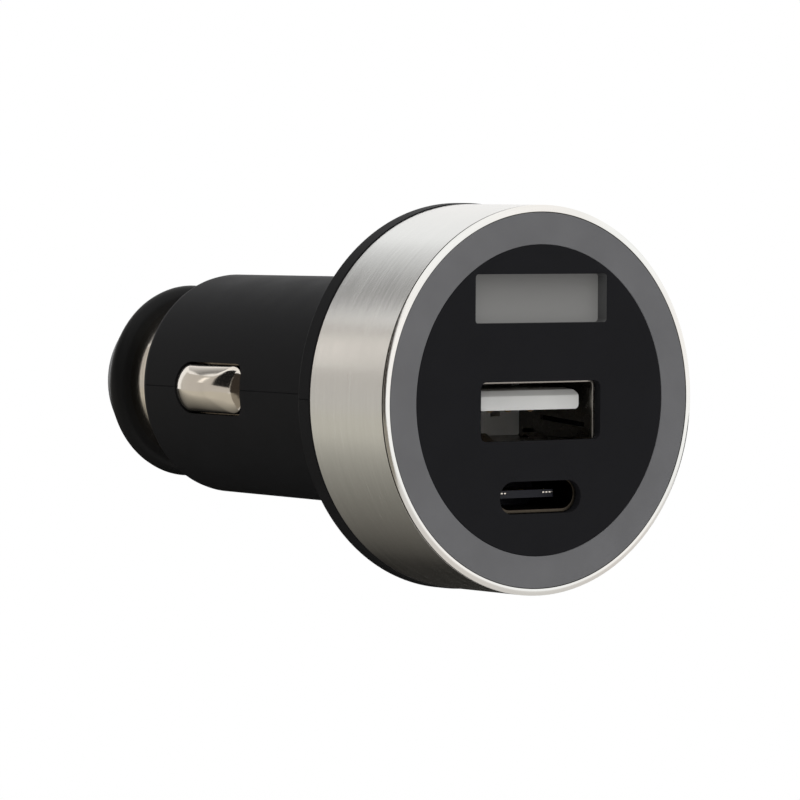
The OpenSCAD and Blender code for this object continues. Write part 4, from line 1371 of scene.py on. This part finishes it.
@dataclass
class SideContact:
    """A sprung side contact: a pressed dome on a flange, with a wiper down to the main board."""

    half: float = 2.22 * MM
    start: float = 18.6 * MM
    end: float = 28.82 * MM
    corner: float = 1.2 * MM
    wall_top: float = 9.7 * MM
    flange: float = 8.85 * MM
    sheet: float = 0.4 * MM
    fullness: float = 2.2
    rings: int = 20

    def ring(self, lift: float, top: float) -> list[Vector]:
        """Gives one ring of the dome.

        Args:
            lift: 0 at the dome's foot to 1 at its crown.
            top: the dome's greatest distance from the axis.

        Returns:
            The ring's points.
        """
        half = self.half
        corners = [
            (self.start, -half, self.corner), (self.end, -half, half), (self.end, half, half),
            (self.start, half, self.corner),
        ]
        share = math.cos(min(lift, 0.995) * math.pi / 2)
        x = self.wall_top + (top - self.wall_top) * math.sqrt(1 - share**self.fullness)
        reach = (self.end - self.start) / 2
        middle = (self.start + self.end) / 2
        made = []
        for y, z in spread(Outline(corners, 12).points(), 0.3 * MM):
            across = Vector(((y - middle) / reach, z / half))
            size = share * (1 + (1 / across.length - 1) * (1 - share**3))
            made.append(Vector((x, middle + reach * across.x * size, half * across.y * size)))
        return made

    def build(self) -> None:
        """Makes both side contacts."""
        for side, word in ((Side.LOW, "left"), (Side.HIGH, "right")):
            name = f"{word}_contact"
            low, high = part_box(name)
            form = self.dome(max(abs(low.x), abs(high.x)))
            form.block((self.flange - self.sheet, low.y, low.z), (self.flange, high.y, high.z))
            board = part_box("main_board")[1]
            root = self.flange - self.sheet
            foot = board.x - 0.4 * MM
            level = low.z + self.sheet / 2
            wiper = [
                (root + 0.1 * MM, level), (foot + 0.3 * MM, level), (foot + 0.06 * MM, level - 0.1 * MM),
                (foot, level - 0.3 * MM), (foot, board.z + 0.05 * MM),
            ]
            form.carried(ribbon(wiper, self.sheet), Axis.ALONG, low.y + MM, low.y + 3 * MM)
            if side is Side.LOW:
                bmesh.ops.scale(form.mesh, vec=(-1, 1, 1), verts=form.mesh.verts[:])
                form.closed()
            form.piece(f"{name}_plated", [NICKEL, SHEET_SHADE], [name], self.finish_of, 40, f"{word}_side")

    def finish_of(self, face: bmesh.types.BMFace) -> int:
        """Paints the flange and the wiper darker than the dome, as painted shade behind the slot."""
        return 1 if abs(face.calc_center_median().x) < self.flange + 0.02 * MM else 0

    def dome(self, top: float) -> Form:
        """Makes the pressed dome as a closed form.

        Args:
            top: its greatest distance from the axis.

        Returns:
            The dome on the +X side.
        """
        form = Form()
        loops = [form.loop([Vector((self.flange, p.y, p.z)) for p in self.ring(0.0, top)])]
        loops += [form.loop(self.ring(k / self.rings, top)) for k in range(self.rings + 1)]
        for first, second in zip(loops, loops[1:]):
            bmesh.ops.bridge_loops(form.mesh, edges=first + second)
        bmesh.ops.remove_doubles(form.mesh, verts=form.mesh.verts[:], dist=1e-6)
        bmesh.ops.holes_fill(form.mesh, edges=[e for e in form.mesh.edges if e.is_boundary])
        return form.closed()


@dataclass
class InnerParts:
    """The boards and parts that keep the solids' own meshes."""

    def build(self) -> None:
        """Gives each shown solid its finish."""
        for name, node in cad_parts.items():
            found = next((f for key, f in NODE_FINISHES.items() if name.startswith(key)), None)
            if found is None or node.hide_render:
                continue
            node.data.materials.clear()
            node.data.materials.append(found.material())
            LOG.info("%s: %s", name, found.name)


@dataclass
class Studio:
    """The floor, the background, the cards, the lights and the camera."""

    floor_z: float = -0.075
    fill: float = 0.46
    plain_radius: float = 0.35
    azimuth: float = math.radians(-36.825)
    elevation: float = math.radians(2.287)
    roll: float = math.radians(0.333)
    distance: float = 473.97 * MM
    target: Corner = (3.387 * MM, 12.5 * MM, -0.908 * MM)
    lens: float = 234.04

    def build(self) -> None:
        """Sets everything around the plug."""
        self.background()
        self.floor()
        self.reflections()
        self.softbox("top_softbox", (0.1, -0.15, 0.5), (1.0, 0.8), 2.6)
        self.softbox("back_softbox", (0.34, 0.6, 0.4), (0.36, 0.25), 0.15)
        self.softbox("left_softbox", (-0.55, -0.45, 0.28), (0.4, 0.4), 1.2)
        self.camera()
        bpy.context.scene.view_settings.view_transform = "Standard"

    @staticmethod
    def seen(graph: Graph) -> Signal:
        """Gives 1 for rays that see the white background: from the camera, a reflection or glass."""
        kinds = ("Is Camera Ray", "Is Glossy Ray", "Is Transmission Ray")
        rays = [graph.node("ShaderNodeLightPath", output=kind) for kind in kinds]
        return rays[0].most(rays[1]).most(rays[2])

    def background(self) -> None:
        """Makes a white background that lights the plug at a plain level."""
        world = bpy.data.worlds.new("studio")
        bpy.context.scene.world = world
        world.use_nodes = True
        graph = Graph(world.node_tree)
        strength = graph.remap(self.seen(graph), 0.0, 1.0, self.fill, 1.0)
        shader = graph.node("ShaderNodeBackground", {}, {"Color": paint(WHITE), "Strength": strength})
        graph.end(shader, "World")

    @staticmethod
    def sheet(name: str, corners: Sequence[Corner]) -> tuple[bpy.types.Object, Graph]:
        """Hangs or lays a flat sheet of the studio.

        Args:
            name: the sheet's name, also its material's.
            corners: its four corners in order.

        Returns:
            The sheet and the graph of its new material.
        """
        mesh = bmesh.new()
        mesh.faces.new([mesh.verts.new(corner) for corner in corners])
        data = bpy.data.meshes.new(name)
        mesh.to_mesh(data)
        mesh.free()
        material = bpy.data.materials.new(name)
        material.use_nodes = True
        data.materials.append(material)
        made = placed(name, data)
        return made, Graph(material.node_tree)

    def floor(self) -> None:
        """Makes the pale floor: white in the distance, with the plug's shadow and a painted shade near the
        plug that only reflections see, and clear from below.
        """
        level = self.floor_z
        graph = self.sheet("floor", [(-4, -4, level), (4, -4, level), (4, 4, level), (-4, 4, level)])[1]
        spot = graph.spot()
        x, y = graph.part(spot, 0), graph.part(spot, 1)
        distance = (x * x + y * y) ** 0.5
        away = graph.remap(distance, 0.1, self.plain_radius, 0.8, 1.0)
        # painted shade: reflections see the floor darker and browner near the plug
        mirrored = graph.node("ShaderNodeLightPath", output="Is Glossy Ray")
        reflected_shade = graph.remap(distance, 0.1, 0.5, 0.42, 0.0)
        diffuse = graph.node("ShaderNodeBsdfDiffuse", {}, {"Color": (0.85, 0.85, 0.85, 1)})
        tone = graph.blend(mirrored * reflected_shade, WHITE, (0.12, 0.06, 0.0))
        plain = graph.glow(tone)
        shaded = graph.node("ShaderNodeMixShader", {}, {0: self.seen(graph) * away, 1: diffuse, 2: plain})
        clear = graph.node("ShaderNodeBsdfTransparent")
        under = graph.node("ShaderNodeNewGeometry", output="Backfacing")
        graph.end(graph.node("ShaderNodeMixShader", {}, {0: under, 1: shaded, 2: clear}))

    def card(self, name: str, corners: Sequence[Corner]) -> Graph:
        """Hangs a card that reflections alone show.

        Args:
            name: the card's name.
            corners: its four corners in order.

        Returns:
            The graph of its new material.
        """
        made, graph = self.sheet(name, corners)
        made.visible_camera = False
        made.visible_diffuse = False
        made.visible_shadow = False
        made.visible_transmission = False
        return graph

    def reflections(self) -> None:
        """Hangs the cards that shade the bright metal: pale walls, dark ones and a small bright one."""
        shade = [(-0.35, 0.012, -0.05), (0.6, 0.012, -0.05), (0.6, 0.8, -0.05), (-0.35, 0.8, -0.05)]
        stops = [(0.0, (0.57, 0.545, 0.48)), (1.0, (0.02, 0.019, 0.017))]
        self.faded_card("shade_card", shade, stops, -0.12, 0.01)
        front = [(-0.6, 0.01, -0.07), (-0.6, -0.6, -0.07), (-0.05, -0.6, -0.07), (-0.05, 0.01, -0.07)]
        self.plain_card("beige_front", front, (0.27, 0.245, 0.205))
        black = [(-0.22, 0.19, 0.036), (-0.297, 0.03, 0.01), (-0.186, 0.015, 0.234), (-0.174, 0.168, 0.18)]
        self.plain_card("black_spot", black, (0.01, 0.01, 0.01))
        for name, first, last, low, high, tone in (
            ("beige_wall", (-0.1, 0.62), (-0.62, 0.02), -0.075, 0.24, (0.57, 0.55, 0.52)),
            ("bright_spot", (-0.191, 0.283), (-0.206, 0.272), 0.055, 0.135, (1.5, 1.45, 1.39)),
            ("brown_front", (-0.62, 0.03), (-0.2, -0.62), -0.07, 0.45, (0.04, 0.033, 0.027)),
            ("grey_right", (0.384, 0.086), (0.286, 0.257), -0.075, 0.085, (0.55, 0.54, 0.525)),
        ):
            self.plain_card(name, self.upright(first, last, low, high), tone)
        start, end, place = -0.165, 0.06, 0.3
        greys = [(0.0, 0.55), (0.17, 0.22), (0.49, 0.42), (0.84, 0.74), (1.0, 1.0)]
        stops = [(at, (grey, grey, grey)) for at, grey in greys]
        band = self.upright((start, place), (end, place), 0.15, 0.28)
        self.faded_card("darker_band", band, stops, start, end)

    @staticmethod
    def upright(first: Point, last: Point, low: float, high: float) -> list[Corner]:
        """Gives the corners of an upright card over two points of the floor."""
        return [(*first, low), (*last, low), (*last, high), (*first, high)]

    def plain_card(self, name: str, corners: Sequence[Corner], colour: Colour) -> None:
        """Hangs a card of one even tone.

        Args:
            name: the card's name.
            corners: its four corners in order.
            colour: its tone.
        """
        graph = self.card(name, corners)
        level = max(colour)
        graph.end(graph.glow(tuple(part / level for part in colour), level))

    def faded_card(
        self, name: str, corners: Sequence[Corner], stops: Sequence[Stop], start: float, end: float
    ) -> None:
        """Hangs a card whose tone changes along X.

        Args:
            name: the card's name.
            corners: its four corners in order.
            stops: the tones, each with its share of the way.
            start: the X where the change starts.
            end: the X where it ends.
        """
        graph = self.card(name, corners)
        share = graph.remap(graph.part(graph.spot(), 0), start, end, 0.0, 1.0)
        graph.end(graph.glow(graph.node("ShaderNodeValToRGB", {"stops": stops}, {"Fac": share})))

    def softbox(self, name: str, place: Sequence[float], size: Point, power: float) -> None:
        """Hangs one softbox that faces the plug.

        Args:
            name: the light's name.
            place: where it hangs.
            size: its width and height.
            power: its power in watts.
        """
        data = bpy.data.lights.new(name, "AREA")
        data.shape = "RECTANGLE"
        data.size, data.size_y = size
        data.energy = power
        lamp = placed(name, data)
        lamp.location = place
        lamp.rotation_euler = (-Vector(place)).to_track_quat("-Z", "Y").to_euler()
        lamp.visible_camera = False
        lamp.visible_glossy = False

    def camera(self) -> None:
        """Sets the camera at the photograph's viewing angle."""
        flat = math.cos(self.elevation)
        back = Vector((math.sin(self.azimuth) * flat, -math.cos(self.azimuth) * flat, 0.0))
        back.z = math.sin(self.elevation)
        right = Vector((0, 0, 1)).cross(back).normalized()
        up = back.cross(right)
        cos, sin = math.cos(self.roll), math.sin(self.roll)
        right, up = right * cos + up * sin, up * cos - right * sin
        data = bpy.data.cameras.new("photo_view")
        data.lens = self.lens
        data.sensor_width = 36.0
        data.clip_start = 0.05
        data.clip_end = 20.0
        made = placed("photo_view", data)
        turn = Matrix((right, up, back)).transposed().to_4x4()
        made.matrix_world = Matrix.Translation(Vector(self.target) + back * self.distance) @ turn
        bpy.context.scene.camera = made


PARTS = (BodyHalves, HeadRings, Face, WidePort, SmallPort, Nose, SideContact, InnerParts, Studio)


def main() -> None:
    """Builds every sub-assembly in order."""
    logging.basicConfig(level=logging.INFO, format="%(name)s: %(message)s")
    for part in PARTS:
        LOG.info("building %s", part.__name__)
        part().build()


if __name__ == "__main__":
    main()
